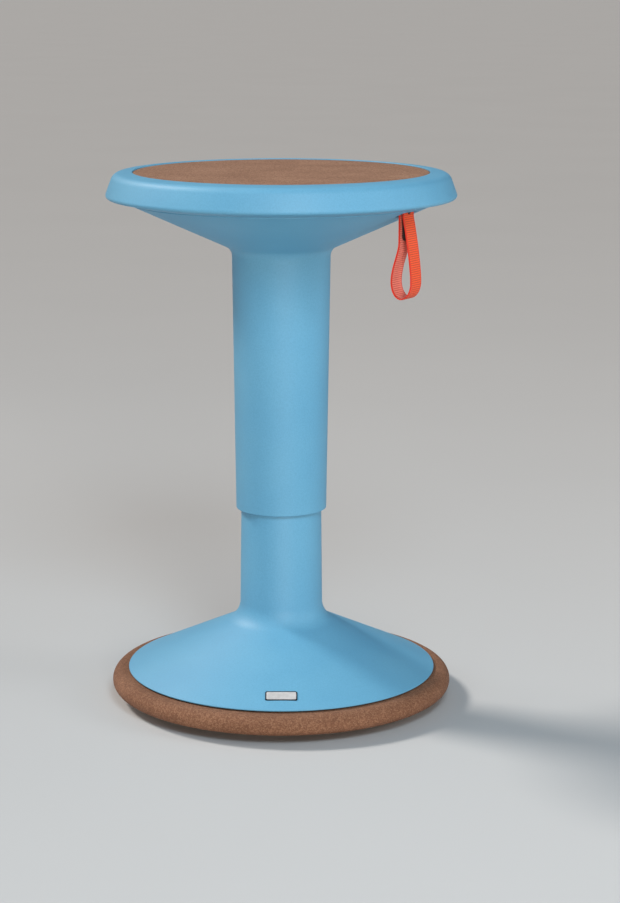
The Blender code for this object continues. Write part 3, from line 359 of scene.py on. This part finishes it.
def per(size_in_mm):
    """The scale of a noise or cell pattern whose grains have this size."""
    return 1.0 / (size_in_mm * MM)


def add(tree, kind, settings, inputs):
    """Adds a node with its settings. An input is a value, or the output that it is linked to."""
    made = tree.nodes.new(kind)
    for name, value in settings.items():
        setattr(made, name, value)
    for socket, value in inputs.items():
        if isinstance(value, bpy.types.NodeSocket):
            tree.links.new(value, made.inputs[socket])
        else:
            made.inputs[socket].default_value = value
    return made


def start(name, roughness, ior=1.5, metallic=0.0, **rest):
    """A material, its tree, its shader and the piece's Object coordinates."""
    made = bpy.data.materials.new(name)
    made.use_nodes = True
    tree = made.node_tree
    shader = tree.nodes["Principled BSDF"]
    shader.inputs["Roughness"].default_value = roughness
    shader.inputs["IOR"].default_value = ior
    shader.inputs["Metallic"].default_value = metallic
    for socket, value in rest.items():
        shader.inputs[socket.replace("_", " ")].default_value = value
    place = add(tree, "ShaderNodeTexCoord", {}, {}).outputs["Object"]
    return made, tree, shader, place


def ramp(tree, factor, stops):
    """A colour ramp through (position, hex colour) stops."""
    made = add(tree, "ShaderNodeValToRGB", {}, {"Fac": factor})
    elements = made.color_ramp.elements
    while len(elements) < len(stops):
        elements.new(1.0)
    for element, (position, hex_colour) in zip(elements, stops):
        element.position = position
        element.color = linear(hex_colour)
    return made.outputs["Color"]


def noise(tree, place, size, detail, roughness=0.5):
    """Cloudy noise whose grains have this size in mm."""
    settings = {"Vector": place, "Scale": per(size), "Detail": detail, "Roughness": roughness}
    return add(tree, "ShaderNodeTexNoise", {}, settings).outputs["Fac"]


def mix(tree, share, one, other, blend="MIX"):
    """Two colours blended."""
    settings = {"data_type": "RGBA", "blend_type": blend}
    return add(tree, "ShaderNodeMix", settings, {0: share, 6: one, 7: other}).outputs[2]


def bands(tree, place, direction, pitch, **rest):
    """Soft bands across the direction, once every pitch."""
    settings = {"wave_type": "BANDS", "bands_direction": direction, "wave_profile": "SIN"}
    inputs = {socket.replace("_", " "): value for socket, value in rest.items()}
    inputs |= {"Vector": place, "Scale": math.pi / (10 * pitch)}
    return add(tree, "ShaderNodeTexWave", settings, inputs).outputs["Fac"]


def finish_surface(tree, shader, colour, gloss, relief, gloss_range, depth):
    """Links colour, the roughness range that gloss runs over, and the relief's bump, depth in mm."""
    low, high = gloss_range
    span = {"Value": gloss, "From Min": 0.3, "From Max": 0.7, "To Min": low, "To Max": high}
    rough = add(tree, "ShaderNodeMapRange", {}, span)
    relief_of = {"Height": relief, "Distance": depth * MM, "Strength": 1.0}
    bump = add(tree, "ShaderNodeBump", {}, relief_of)
    tree.links.new(colour, shader.inputs["Base Color"])
    tree.links.new(rough.outputs["Result"], shader.inputs["Roughness"])
    tree.links.new(bump.outputs["Normal"], shader.inputs["Normal"])


def grained(
    name, deep, light, grain, depth, gloss_range, metallic=0.0, ior=1.5, cloud=60.0, stretch=(1, 1, 1)
):
    """A surface with one grain: deep and light colours over broad clouds, and a fine relief.

    Grain, cloud and depth are in mm. A stretch below 1 draws the grain out along that axis.
    """
    made, tree, shader, place = start(name, sum(gloss_range) / 2, ior, metallic)
    clouds = noise(tree, place, cloud, 3.0)
    colour = ramp(tree, clouds, ((0.35, deep), (0.65, light)))
    drawn = add(tree, "ShaderNodeMapping", {}, {"Vector": place, "Scale": stretch}).outputs["Vector"]
    fine = noise(tree, drawn, grain, 4.0)
    finish_surface(tree, shader, colour, clouds, fine, gloss_range, depth)
    return made


def blue_polypropylene():
    """Sky-blue polypropylene from a spark-eroded mould: one even colour, a satin sheen and a pebbled grain.

    The real grain is about 0.3 mm. It is drawn at 1.4 mm, the finest that shows from across a room.
    """
    made, tree, shader, place = start("blue_moulded_polypropylene", 0.54, 1.5)
    flow = noise(tree, place, 70, 2.0)
    pebble = noise(tree, place, 1.4, 3.0, 0.62)
    body = ramp(tree, flow, ((0.3, "#61A2C4"), (0.7, "#68A8C8")))
    pits = ramp(tree, pebble, ((0.32, "#EFF3F5"), (0.62, "#FFFFFF")))
    colour = mix(tree, 1.0, body, pits, "MULTIPLY")
    finish_surface(tree, shader, colour, pebble, pebble, (0.48, 0.62), 0.09)
    return made


def granulate(name, chips, dust, chip_size, depth):
    """Pressed granulate of cork and rubber: brown chips of several tones in a matt ground, slightly rough."""
    made, tree, shader, place = start(name, 0.85, 1.45)
    cells = {"Vector": place, "Scale": per(chip_size), "Randomness": 1.0}
    chip = add(tree, "ShaderNodeTexVoronoi", {"feature": "F1"}, cells).outputs["Color"]
    tone = add(tree, "ShaderNodeSeparateColor", {}, {"Color": chip}).outputs["Red"]
    powder = noise(tree, place, chip_size / 2, 4.0, 0.7)
    mixed = mix(tree, 0.5, ramp(tree, tone, chips), ramp(tree, powder, dust))
    wear = noise(tree, place, 45, 3.0)
    tint = ramp(tree, wear, ((0.3, "#E9E4E0"), (0.7, "#FFFFFF")))
    colour = mix(tree, 1.0, mixed, tint, "MULTIPLY")
    finish_surface(tree, shader, colour, powder, powder, (0.78, 0.95), depth)
    return made


def orange_grosgrain():
    """Polyester webbing with woven ribs: orange-red, with redder selvedges, a paler, pinker back, and painted
    shade in the grooves between the ribs.
    """
    made, tree, shader, _ = start(
        "orange_grosgrain_webbing", 0.75, 1.5, Sheen_Weight=0.08, Sheen_Roughness=0.5
    )
    laid = add(tree, "ShaderNodeUVMap", {"uv_map": "laid_flat"}, {}).outputs["UV"]
    across = add(tree, "ShaderNodeSeparateXYZ", {}, {"Vector": laid}).outputs["Y"]
    back = add(tree, "ShaderNodeAttribute", {"attribute_name": "back"}, {}).outputs["Fac"]
    edge_distance = add(tree, "ShaderNodeMath", {"operation": "ABSOLUTE"}, {0: across}).outputs[0]
    border = strap_width / 2 - SELVEDGE
    span = {"Value": edge_distance, "From Min": border - 0.1 * MM, "From Max": border + 0.1 * MM}
    selvedge = add(tree, "ShaderNodeMapRange", {}, span).outputs["Result"]
    # Darker bands across the webbing, one per rib, on both faces: painted shade of the grooves between the
    # ribs. The dark stops of the front and rear ramps are that shade.
    ribs = bands(tree, laid, "X", RIB_PITCH, Distortion=0.4, Detail=1.0, Phase_Offset=math.pi / 2)
    yarn = bands(tree, laid, "Y", YARN_PITCH, Distortion=1.5, Detail=2.0)
    front = ramp(tree, ribs, ((0.1, "#CA3E0A"), (0.5, "#FF5512")))
    rear = ramp(tree, ribs, ((0.1, "#D65C4C"), (0.5, "#FF8E78")))
    woven = mix(tree, selvedge, mix(tree, back, front, rear), linear("#E4300F"))
    threads = ramp(tree, yarn, ((0.2, "#EFEBEA"), (0.8, "#FFFFFF")))
    colour = mix(tree, 1.0, woven, threads, "MULTIPLY")
    finish_surface(tree, shader, colour, yarn, yarn, (0.68, 0.85), 0.12)
    return made


def badge_aluminium():
    """Anodised aluminium, brushed along its length: pale silver with fine lines."""
    return grained(
        "brushed_anodised_aluminium", "#C4BFBD", "#D2CECC", 0.5, 0.01, (0.4, 0.52), 0.15, cloud=6.0
    )


def badge_border():
    """The same aluminium coloured dark on the plate's sides and a thin border round its face, so that the
    plate's edge reads as a thin dark line.
    """
    return grained(
        "dark_edged_aluminium", "#3B3B3F", "#4A4A4E", 0.5, 0.01, (0.3, 0.45), 0.9, cloud=6.0
    )


looks = {
    "sky_blue_moulding": blue_polypropylene(),
    "brown_pad": granulate(
        "brown_cork_rubber_mat",
        ((0.0, "#6C4633"), (0.5, "#926B52"), (1.0, "#BC9377")),
        ((0.3, "#79513C"), (0.7, "#AD856A")),
        1.3,
        0.16,
    ),
    "brown_tread": granulate(
        "brown_cork_rubber_tread",
        ((0.0, "#5E3A28"), (0.5, "#855940"), (1.0, "#AB8163")),
        ((0.3, "#6B4632"), (0.7, "#976B50")),
        1.1,
        0.2,
    ),
    "orange_webbing": orange_grosgrain(),
    "silver_badge": badge_aluminium(),
    # Glass-filled nylon, moulded: black with a dry grey cast and a fine grain
    "black_moulding": grained(
        "black_glass_filled_nylon", "#151516", "#1E1E20", 0.9, 0.05, (0.42, 0.58), ior=1.53
    ),
    # Zinc plate on pressed steel: bright grey, with soft blotches where the plating varies
    "zinc_steel": grained(
        "zinc_plated_steel", "#A9ACB1", "#C3C5C8", 0.6, 0.02, (0.28, 0.44), 1.0, cloud=8.0
    ),
    # Powder-coated steel, for the tube and the rivet: near black, with a slight orange peel. On the rivet the
    # black also stands for the shade beside the strap's slot: painted shade on a real part.
    "black_steel": grained(
        "black_powder_coated_steel", "#17181A", "#1F2022", 1.6, 0.03, (0.35, 0.45), 0.0, cloud=30.0
    ),
    # Ground steel: bright, with fine rings left round the rod by the wheel
    "ground_steel": grained(
        "ground_steel",
        "#BDBEC0",
        "#D2D3D5",
        0.5,
        0.006,
        (0.12, 0.22),
        1.0,
        cloud=15.0,
        stretch=(0.05, 0.05, 1),
    ),
    # Sand-cast iron: dark grey and pitted, fully matt
    "cast_iron": grained(
        "sand_cast_iron", "#3A3A3C", "#57565A", 1.8, 0.25, (0.62, 0.82), 0.7, cloud=12.0
    ),
    # Acetal: milky white and waxy, with faint turning marks
    "white_acetal": grained(
        "white_acetal", "#DEDDD6", "#EBEAE4", 0.7, 0.02, (0.3, 0.4), ior=1.48, stretch=(0.1, 0.1, 1)
    ),
    # Nitrile rubber: soft black, dull and slightly dusty
    "black_rubber": grained(
        "black_nitrile_rubber", "#161616", "#232323", 0.8, 0.05, (0.65, 0.85), ior=1.52
    ),
    # Die-cast aluminium, tumbled: mid grey with a sandy skin
    "die_cast_alloy": grained(
        "tumbled_die_cast_aluminium", "#8F9193", "#A8AAAC", 0.7, 0.06, (0.4, 0.55), 1.0, cloud=18.0
    ),
}
dark_border = badge_border()


# ---------------------------------------------------------------- seat


def cone_height(radius, wall=0.0):
    """Height of the seat cone's outer face, or of the inner one for its wall."""
    start_height = parting_height - CONE_STEP
    return start_height - math.tan(SEAT_SLOPE) * (parting_radius - radius) + wall / math.cos(SEAT_SLOPE)


def sleeve_side(cone_wall, sleeve_wall):
    """The corner where cone and sleeve would meet, and the sleeve's lower end, moved in by the walls."""
    slope = math.tan(SEAT_SLOPE)
    axis_radius = SLEEVE_RADIUS - SLEEVE_TAPER * cone_height(SLEEVE_RADIUS) - sleeve_wall
    axis_height = cone_height(0.0, cone_wall)
    corner = (axis_radius + SLEEVE_TAPER * axis_height) / (1 - SLEEVE_TAPER * slope)
    end = axis_radius + SLEEVE_TAPER * sleeve_bottom
    return (corner, axis_height + slope * corner), (end, sleeve_bottom)


def make_seat_rim():
    """Upper seat moulding: a flat floor under the pad, and a rim that rolls over and tucks under."""
    crown = (seat_radius - CROWN_INSET, rim_top - CROWN_DROP)
    foot = (seat_radius + RIM_FOOT_OVERRUN, rim_top - RIM_FOOT_DROP)
    inner_foot = (foot[0] - TUCK, foot[1] + RIM_WALL)
    outline = rounded(
        [
            (0, floor_top),
            (recess_radius, floor_top),
            (recess_radius, rim_top, RIM_LIP),
            (*crown, CROWN_ROUNDING),
            (*foot, RIM_FOOT_ROUNDING),
            (parting_radius, parting_height, BAND_EDGE),
            (parting_radius, parting_height + RIM_WALL),
            inner_foot,
            (crown[0] - RIM_WALL, crown[1] - RIM_WALL, CROWN_ROUNDING - RIM_WALL),
            (recess_radius + RIM_WALL, crown[1] - RIM_WALL),
            (recess_radius + RIM_WALL, floor_under),
            (0, floor_under),
        ]
    )
    bm = turned(outline, closed=False)
    floor_middle = (floor_top + floor_under) / 2
    rib_size = (RIB_OUTER - RIB_INNER, RIB_WIDTH, floor_middle - floor_under + RIB_HEIGHT)
    for angle in RIB_ANGLES:
        rib = slab(rib_size, ((RIB_INNER + RIB_OUTER) / 2, 0, floor_middle - rib_size[2] / 2))
        turn = Matrix.Rotation(math.radians(angle), 3, "Z")
        bmesh.ops.rotate(rib, verts=rib.verts, cent=(0, 0, 0), matrix=turn)
        bm = carve(bm, rib, "UNION")
    seat_places = on_circle(SCREW_CIRCLE, SEAT_SCREW_ANGLES)
    hub_places = on_circle(HUB_SCREW_CIRCLE, HUB_SCREW_ANGLES)
    bm = carve(bm, posts(seat_places, BOSS_RADIUS, boss_split + FIT, floor_middle), "UNION")
    bm = carve(bm, posts(hub_places, HUB_BOSS_RADIUS, hub_boss_foot, floor_middle), "UNION")
    head_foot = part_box("seat_screw_1")[1].z - HEAD_HEIGHT - 2 * FIT
    bm = carve(bm, posts(seat_places, BORE_RADIUS, boss_split - MM, floor_top + MM))
    bm = carve(bm, posts(seat_places, HEAD_BORE_RADIUS, head_foot, floor_top + MM))
    bm = carve(bm, posts(hub_places, HUB_BORE_RADIUS, hub_boss_foot - MM, floor_middle - 2 * MM))
    return show(bm, "seat_rim_moulding", "seat_top_shell", [looks["sky_blue_moulding"]])


def make_seat_cone():
    """Lower seat moulding: a cone that runs into the telescopic sleeve, with the strap's slot."""
    spigot = parting_radius - FIT
    inner = spigot - SPIGOT_WALL
    corner, end = sleeve_side(0.0, 0.0)
    inner_corner, inner_end = sleeve_side(CONE_WALL, SLEEVE_WALL)
    outline = rounded(
        [
            (spigot, spigot_top, SPIGOT_EDGE),
            (spigot, cone_height(spigot), SPIGOT_FOOT_EDGE),
            (*corner, SLEEVE_ROUNDING),
            (*end, SLEEVE_EDGE),
            (*inner_end, SLEEVE_EDGE / 2),
            (*inner_corner, SLEEVE_ROUNDING + SLEEVE_WALL),
            (inner, cone_height(inner, CONE_WALL)),
            (inner, spigot_top, SPIGOT_EDGE),
        ]
    )
    bm = turned(outline)
    places = on_circle(SCREW_CIRCLE, SEAT_SCREW_ANGLES)
    root = cone_height(SCREW_CIRCLE, CONE_WALL / 2)
    bosses = posts(places, BOSS_RADIUS, root, boss_split, slopes=(math.tan(SEAT_SLOPE), 0.0))
    bm = carve(bm, bosses, "UNION")
    bore_foot = cone_height(SCREW_CIRCLE, CONE_WALL) + 2 * MM
    bm = carve(bm, posts(places, BORE_RADIUS, bore_foot, boss_split + MM))
    slot = slab((SLOT_WIDTH, SLOT_LENGTH, SLOT_CUT), (strap_x, 0, cone_height(strap_x)), SLOT_CORNER)
    bm = carve(bm, slot)
    return show(bm, "seat_cone_moulding", "seat_lower_shell", [looks["sky_blue_moulding"]])


def make_seat_mat():
    """The pad: a flat disc of granulate whose edge is pressed down a little."""
    low = pad_box[0].z
    high = pad_box[1].z
    outline = rounded(
        [
            (0, high),
            (pad_radius - MAT_PRESSED, high),
            (pad_radius, high - MAT_DROP, MAT_EDGE),
            (pad_radius, low),
            (0, low),
        ]
    )
    return show(turned(outline, closed=False), "seat_mat", "seat_pad", [looks["brown_pad"]])


# ---------------------------------------------------------------- foot


def foot_side(cone_wall, column_wall):
    """The foot's surface from the column's top to its lower edge, moved in by the walls."""
    slope = math.tan(FOOT_SLOPE)
    flare_height = FOOT_EDGE_HEIGHT + slope * (foot_radius - COLUMN_RADIUS)
    axis_height = FOOT_EDGE_HEIGHT + slope * foot_radius - cone_wall / math.cos(FOOT_SLOPE)
    axis_radius = COLUMN_RADIUS + COLUMN_TAPER * flare_height - column_wall
    corner = (axis_radius - COLUMN_TAPER * axis_height) / (1 - COLUMN_TAPER * slope)
    top = axis_radius - COLUMN_TAPER * column_top
    edge = foot_radius - cone_wall / math.sin(FOOT_SLOPE)
    return (top, column_top), (corner, axis_height - slope * corner), (edge, FOOT_EDGE_HEIGHT)


def badge_matrix():
    """The badge's place: on the cone's slope, turned to face down it."""
    middle = (badge_box[0] + badge_box[1]) / 2
    turn = Matrix.Rotation(math.atan2(middle.y, middle.x), 4, "Z")
    return Matrix.Translation(middle) @ turn @ Matrix.Rotation(FOOT_SLOPE, 4, "Y")


def make_foot():
    """Foot moulding: the lower column, its flare and the cone, with screw bosses and the badge's pocket."""
    top, corner, edge = foot_side(0.0, 0.0)
    inner_top, inner_corner, inner_edge = foot_side(FOOT_WALL, COLUMN_WALL)
    outline = rounded(
        [
            (*top, COLUMN_EDGE),
            (*corner, FLARE_ROUNDING),
            (*edge, FOOT_EDGE),
            (*inner_edge, FOOT_INNER_EDGE),
            (*inner_corner, FLARE_ROUNDING + COLUMN_WALL),
            (*inner_top, COLUMN_EDGE),
        ]
    )
    bm = turned(outline)
    places = on_circle(SCREW_CIRCLE, BASE_SCREW_ANGLES)
    cone_over_screw = FOOT_EDGE_HEIGHT + math.tan(FOOT_SLOPE) * (foot_radius - SCREW_CIRCLE)
    root = cone_over_screw - FOOT_WALL / 2
    bosses = posts(places, BOSS_RADIUS, BOSS_FOOT, root, slopes=(0.0, -math.tan(FOOT_SLOPE)))
    bm = carve(bm, bosses, "UNION")
    bm = carve(bm, posts(places, BORE_RADIUS, BOSS_FOOT - MM, cone_over_screw - FOOT_WALL - 2 * MM))
    pocket_size = (BADGE_DEPTH + 2 * FIT, BADGE_LENGTH + 2 * FIT, BADGE_CUT)
    pocket = slab(pocket_size, (0, 0, BADGE_CUT / 2 - BADGE_THICKNESS / 2 - FIT), BADGE_CORNER)
    bmesh.ops.transform(pocket, matrix=badge_matrix(), verts=pocket.verts)
    bm = carve(bm, pocket)
    return show(bm, "foot_moulding", "foot_shell", [looks["sky_blue_moulding"]])


def rocking_height(offset, radius):
    """Height of the tread's rocking curve at a radius, or of the curve that far inside it."""
    reach = max(radius - TREAD_FLAT, 0.0)
    return TREAD_CURVE - math.sqrt((TREAD_CURVE - offset) ** 2 - reach**2)


def make_tread():
    """Tread: a dish of granulate that rolls out from under the foot's edge and curves down to a flat."""
    centre = Vector((TREAD_FLAT, TREAD_CURVE))
    bulge_height = rocking_height(0.0, tread_radius) + TREAD_BULGE_RISE
    reach = Vector((tread_radius, bulge_height)) - centre
    roll_radius = (TREAD_CURVE**2 - reach.x**2 - reach.y**2) / (2 * (TREAD_CURVE - reach.x))
    bulge = Vector((tread_radius - roll_radius, bulge_height))
    away = (bulge - centre).normalized()
    under = math.atan2(away.y, away.x)
    turns = [under * k / ROLL_STEPS for k in range(ROLL_STEPS + 1)]
    roll = [bulge + roll_radius * Vector((math.cos(t), math.sin(t))) for t in turns]
    shoulder = (foot_radius - FOOT_WALL, tread_top)
    crown = rounded([shoulder, (tread_radius, tread_top, TREAD_SHOULDER), roll[0]])[1:-1]
    contact = centre.x + away.x * TREAD_CURVE
    shares = [k / ROLL_STEPS for k in range(ROLL_STEPS + 1)]
    under_radii = [contact + (TREAD_FLAT - contact) * share for share in shares[1:]]
    under_side = [(r, rocking_height(0.0, r)) for r in under_radii]
    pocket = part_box("base_plate")[1].x + FIT
    pocket_radii = [TREAD_FLAT + (pocket - TREAD_FLAT) * share for share in shares]
    inner = [(0, TREAD_SKIN)] + [(r, rocking_height(TREAD_SKIN, r)) for r in pocket_radii]
    inner.append((pocket, tread_top))
    outline = inner + crown + roll + under_side + [(0, 0)]
    return show(turned(outline, closed=False), "rocking_tread", "tread", [looks["brown_tread"]])


def make_badge():
    """A blank plate with rounded corners and a dark border, a little proud of the foot."""
    bm = slab((BADGE_DEPTH, BADGE_LENGTH, BADGE_THICKNESS), (0, 0, 0), BADGE_CORNER, 8)
    top = [f for f in bm.faces if f.normal.z > 0.9]
    bevel(bm, [e for f in top for e in f.edges], BADGE_EDGE, 3)
    top = [f for f in bm.faces if f.normal.z > 0.99]
    for face in bm.faces:
        face.material_index = 1
    bmesh.ops.inset_region(bm, faces=top, thickness=BADGE_BORDER, depth=0.0)
    bmesh.ops.inset_region(bm, faces=top, thickness=BADGE_STEP, depth=-BADGE_SINK)
    for face in top:
        face.material_index = 0
    bmesh.ops.transform(bm, matrix=badge_matrix(), verts=bm.verts)
    return show(bm, "blank_badge", "badge_plate", [looks["silver_badge"], dark_border])


# ---------------------------------------------------------------- pull strap


def bezier(a, b, c, d, share):
    """A point on the curve from a to d, which sets off towards b and arrives from c."""
    rest = 1 - share
    return a * rest**3 + b * 3 * rest**2 * share + c * 3 * rest * share**2 + d * share**3


def strap_line():
    """The webbing's middle, as (x, z) points from the outer leg's top, round the loop, to the inner's.

    The outer leg bows out as soon as it is through the slot. The inner one lies on the tongue first.
    """
    low = strap_bottom + WEBBING / 2
    widest = low + LOOP_RISE
    shares = [k / STRAP_STEPS for k in range(STRAP_STEPS)]
    outer_start = Vector((LEG_OFFSET, slot_height))
    outer_side = Vector((OUTER_REACH, widest))
    inner_start = Vector((-LEG_OFFSET, tongue_box[0].z))
    inner_side = Vector((-INNER_REACH, widest))
    bow = (outer_start + OUTER_BOW, outer_side + LOOP_EASE)
    hang = (inner_start - LEG_EASE, inner_side + LOOP_EASE)
    outer = [bezier(outer_start, *bow, outer_side, share) for share in shares]
    inner = [bezier(inner_start, *hang, inner_side, share) for share in shares]
    loop = []
    for k in range(2 * STRAP_STEPS + 1):
        turn = math.pi / 2 * k / STRAP_STEPS
        reach = OUTER_REACH if turn < math.pi / 2 else INNER_REACH
        loop.append(Vector((reach * math.cos(turn), widest - LOOP_RISE * math.sin(turn))))
    top = [Vector((LEG_OFFSET, strap_top))]
    return top + outer + loop + inner[::-1] + [Vector((-LEG_OFFSET, strap_top))]


def along(line, lengths, distance):
    """The line's point and its outward side at a distance along it."""
    i = 1
    while i < len(lengths) - 1 and lengths[i] < distance:
        i += 1
    share = (distance - lengths[i - 1]) / (lengths[i] - lengths[i - 1])
    before = (line[i] - line[max(i - 2, 0)]).normalized()
    after = (line[min(i + 1, len(line) - 1)] - line[i - 1]).normalized()
    heading = before.lerp(after, share).normalized()
    return line[i - 1].lerp(line[i], share), Vector((-heading.y, heading.x))


def make_strap():
    """The webbing, laid flat, ribbed on both faces, and then bent round the loop."""
    line = strap_line()
    lengths = [0.0]
    for a, b in zip(line, line[1:]):
        lengths.append(lengths[-1] + (b - a).length)
    length = lengths[-1]
    bm = bmesh.new()
    size = Matrix.Diagonal((length, strap_width, 1.0, 1.0))
    columns = round(length / RIB_PITCH) * RIB_SAMPLES
    bmesh.ops.create_grid(bm, x_segments=columns, y_segments=STRAP_ROWS, size=0.5, matrix=size)
    bmesh.ops.solidify(bm, geom=bm.faces[:], thickness=WEBBING)
    bmesh.ops.recalc_face_normals(bm, faces=bm.faces)
    middle = sum(v.co.z for v in bm.verts) / len(bm.verts)
    laid_flat = bm.loops.layers.uv.new("laid_flat")
    back = bm.verts.layers.float.new("back")
    for face in bm.faces:
        for loop in face.loops:
            loop[laid_flat].uv = (loop.vert.co.x, loop.vert.co.y)
    for vert in bm.verts:
        side = 1 if vert.co.z > middle else -1
        vert[back] = float(side < 0)
        from_edge = strap_width / 2 - abs(vert.co.y)
        rib = RIB_RISE * 0.5 * (1 + math.cos(2 * math.pi * vert.co.x / RIB_PITCH))
        if from_edge < SELVEDGE:
            rib = SELVEDGE_RISE
        if from_edge < FOLD:
            rib = -FOLD_SINK
        point, outward = along(line, lengths, vert.co.x + length / 2)
        place = point + outward * side * (WEBBING / 2 + rib)
        vert.co = (strap_x + place.x, vert.co.y, place.y)
    strap = show(bm, "pull_strap_webbing", "strap_loop", [looks["orange_webbing"]])
    return strap, length


def make_tongue():
    """The moulded tongue that the strap's ends are riveted to, with its eye for the strap pin."""
    low, high = tongue_box
    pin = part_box("strap_pin")
    pin_height = (pin[0].z + pin[1].z) / 2
    size = (TONGUE_THICKNESS, high.y - low.y, pin_height - low.z)
    bm = bmesh.new()
    bmesh.ops.create_cube(bm, size=1.0, matrix=Matrix.Diagonal((*size, 1.0)))
    low_edges = [e for e in bm.edges if all(v.co.z < 0 for v in e.verts)]
    corners = [e for e in low_edges if abs(e.verts[0].co.x - e.verts[1].co.x) > MM]
    bevel(bm, corners, TONGUE_CORNER, 8)
    hard = [e for e in bm.edges if abs(e.calc_face_angle(0)) > math.radians(60)]
    bevel(bm, hard, TONGUE_EDGE, 3)
    bmesh.ops.translate(bm, verts=bm.verts, vec=(strap_x, 0, pin_height - size[2] / 2))
    for radius, half, operation in (
        (EYE_RADIUS, size[1] / 2 - FIT, "UNION"),
        (EYE_BORE_RADIUS, size[1], "DIFFERENCE"),
    ):
        rod = turned([(radius, half), (radius, -half), (0, -half), (0, half)], SMALL_ROUND, True, "Y")
        bmesh.ops.translate(rod, verts=rod.verts, vec=(strap_x, 0, pin_height))
        bm = carve(bm, rod, operation)
    return show(bm, "strap_tongue_moulding", "strap_tongue", [looks["black_moulding"]])


def make_rivet():
    """A rivet with two domed heads and a solid shank, through both legs and the tongue."""
    low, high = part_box("strap_rivet")
    half = (high.x - low.x) / 2
    head = (high.z - low.z) / 2
    neck = half - RIVET_HEAD_HEIGHT
    outline = rounded(
        [
            (0, half),
            (head, half, RIVET_DOME),
            (head, neck),
            (SHANK_RADIUS, neck),
            (SHANK_RADIUS, -neck),
            (head, -neck),
            (head, -half, RIVET_DOME),
            (0, -half),
        ]
    )
    bm = turned(outline, SMALL_ROUND, False, "X")
    bmesh.ops.translate(bm, verts=bm.verts, vec=(low + high) / 2)
    # Black, so that the rivet reads as the shade beside the strap's slot: painted shade on a real part.
    return show(bm, "strap_rivet_turned", "strap_rivet", [looks["black_steel"]])


# ---------------------------------------------------------------- room


CAMERA_TURN = math.radians(33)
CAMERA_TILT = math.radians(78.02)  # from straight down
CAMERA_DISTANCE = 2.2797
CAMERA_HEIGHT = 0.7366
LENS = 92.2  # mm, on a 36 mm sensor
LENS_SHIFT = 0.0318
FLOOR_RADIUS = 90.0
FLOOR_DROP = 0.2 * MM
LAMP_AIM = (0, 0, 0.3)  # the column's middle
SOFTBOX_WIDTH = 1.0


def in_view_frame(x, y, z):
    """A place given as the camera sees it: x to its right, y away from it, z up."""
    return Matrix.Rotation(CAMERA_TURN, 3, "Z") @ Vector((x, y, z))


def make_camera():
    """A long lens, a little above the seat and looking down on it."""
    data = bpy.data.cameras.new("camera")
    data.sensor_width = 36
    data.lens = LENS
    data.shift_x = LENS_SHIFT
    camera = bpy.data.objects.new("camera", data)
    camera.location = in_view_frame(0, -CAMERA_DISTANCE, CAMERA_HEIGHT)
    camera.rotation_euler = (CAMERA_TILT, 0, CAMERA_TURN)
    bpy.context.scene.collection.objects.link(camera)
    bpy.context.scene.camera = camera


def lamp(kind, name, place, power, colour):
    """A lamp at a place that is given as the camera sees it."""
    data = bpy.data.lights.new(name, kind)
    data.energy = power
    data.color = linear(colour)[:3]
    made = bpy.data.objects.new(name, data)
    made.location = in_view_frame(*place)
    bpy.context.scene.collection.objects.link(made)
    return made


def softbox(name, place, power, colour="#FFFFFF"):
    """A round softbox, aimed at the column's middle."""
    made = lamp("AREA", name, place, power, colour)
    made.data.shape = "DISK"
    made.data.size = SOFTBOX_WIDTH
    away = made.location - Vector(LAMP_AIM)
    made.rotation_euler = away.to_track_quat("Z", "Y").to_euler()


def sun(name, from_place, width_in_degrees, strength, colour):
    """A lamp so far off that it lights the whole floor alike, as wide as given."""
    made = lamp("SUN", name, from_place, strength, colour)
    made.data.angle = math.radians(width_in_degrees)
    made.rotation_euler = made.location.to_track_quat("Z", "Y").to_euler()


def make_room():
    """A pale room: an even floor and sky, a broad key and fill from far off, and three softboxes."""
    bm = bmesh.new()
    bmesh.ops.create_circle(bm, cap_ends=True, segments=96, radius=FLOOR_RADIUS)
    floor = as_object(bm, "pale_floor")
    made, tree, shader, place = start("pale_floor_paint", 0.9)
    tone = add(tree, "ShaderNodeTexNoise", {}, {"Vector": place, "Scale": 2.0})
    paint = ramp(tree, tone.outputs["Fac"], ((0.0, "#BEBEBE"), (1.0, "#C2C2C2")))
    tree.links.new(paint, shader.inputs["Base Color"])
    floor.data.materials.append(made)
    floor.location.z = -FLOOR_DROP
    world = bpy.data.worlds.new("pale_room")
    world.use_nodes = True
    background = world.node_tree.nodes["Background"]
    background.inputs["Color"].default_value = linear("#EAF4FF")
    background.inputs["Strength"].default_value = 0.17
    bpy.context.scene.world = world
    bpy.context.scene.view_settings.view_transform = "Standard"
    sun("key_from_left_behind", (-1.9, 1.0, 2.1), 12, 2.4, "#FFF8F0")
    sun("front_fill_at_seat_height", (0.4, -2.6, 0.42), 18, 1.42, "#FFF0E0")
    softbox("front_fill_from_above", (0.4, -2.2, 2.0), 38, "#DDF2FF")
    softbox("side_left_fill", (-2.6, 0.5, 1.5), 8)
    softbox("side_right_fill", (2.5, -0.8, 1.2), 14)


make_camera()
make_seat_rim()
make_seat_cone()
make_seat_mat()
make_foot()
make_tread()
make_badge()
pull_strap, strap_length = make_strap()
make_tongue()
make_rivet()
for name, node in frame["nodes"].items():
    for material_slot in node.material_slots:
        material_slot.material = looks[slot_of[name]]
make_room()
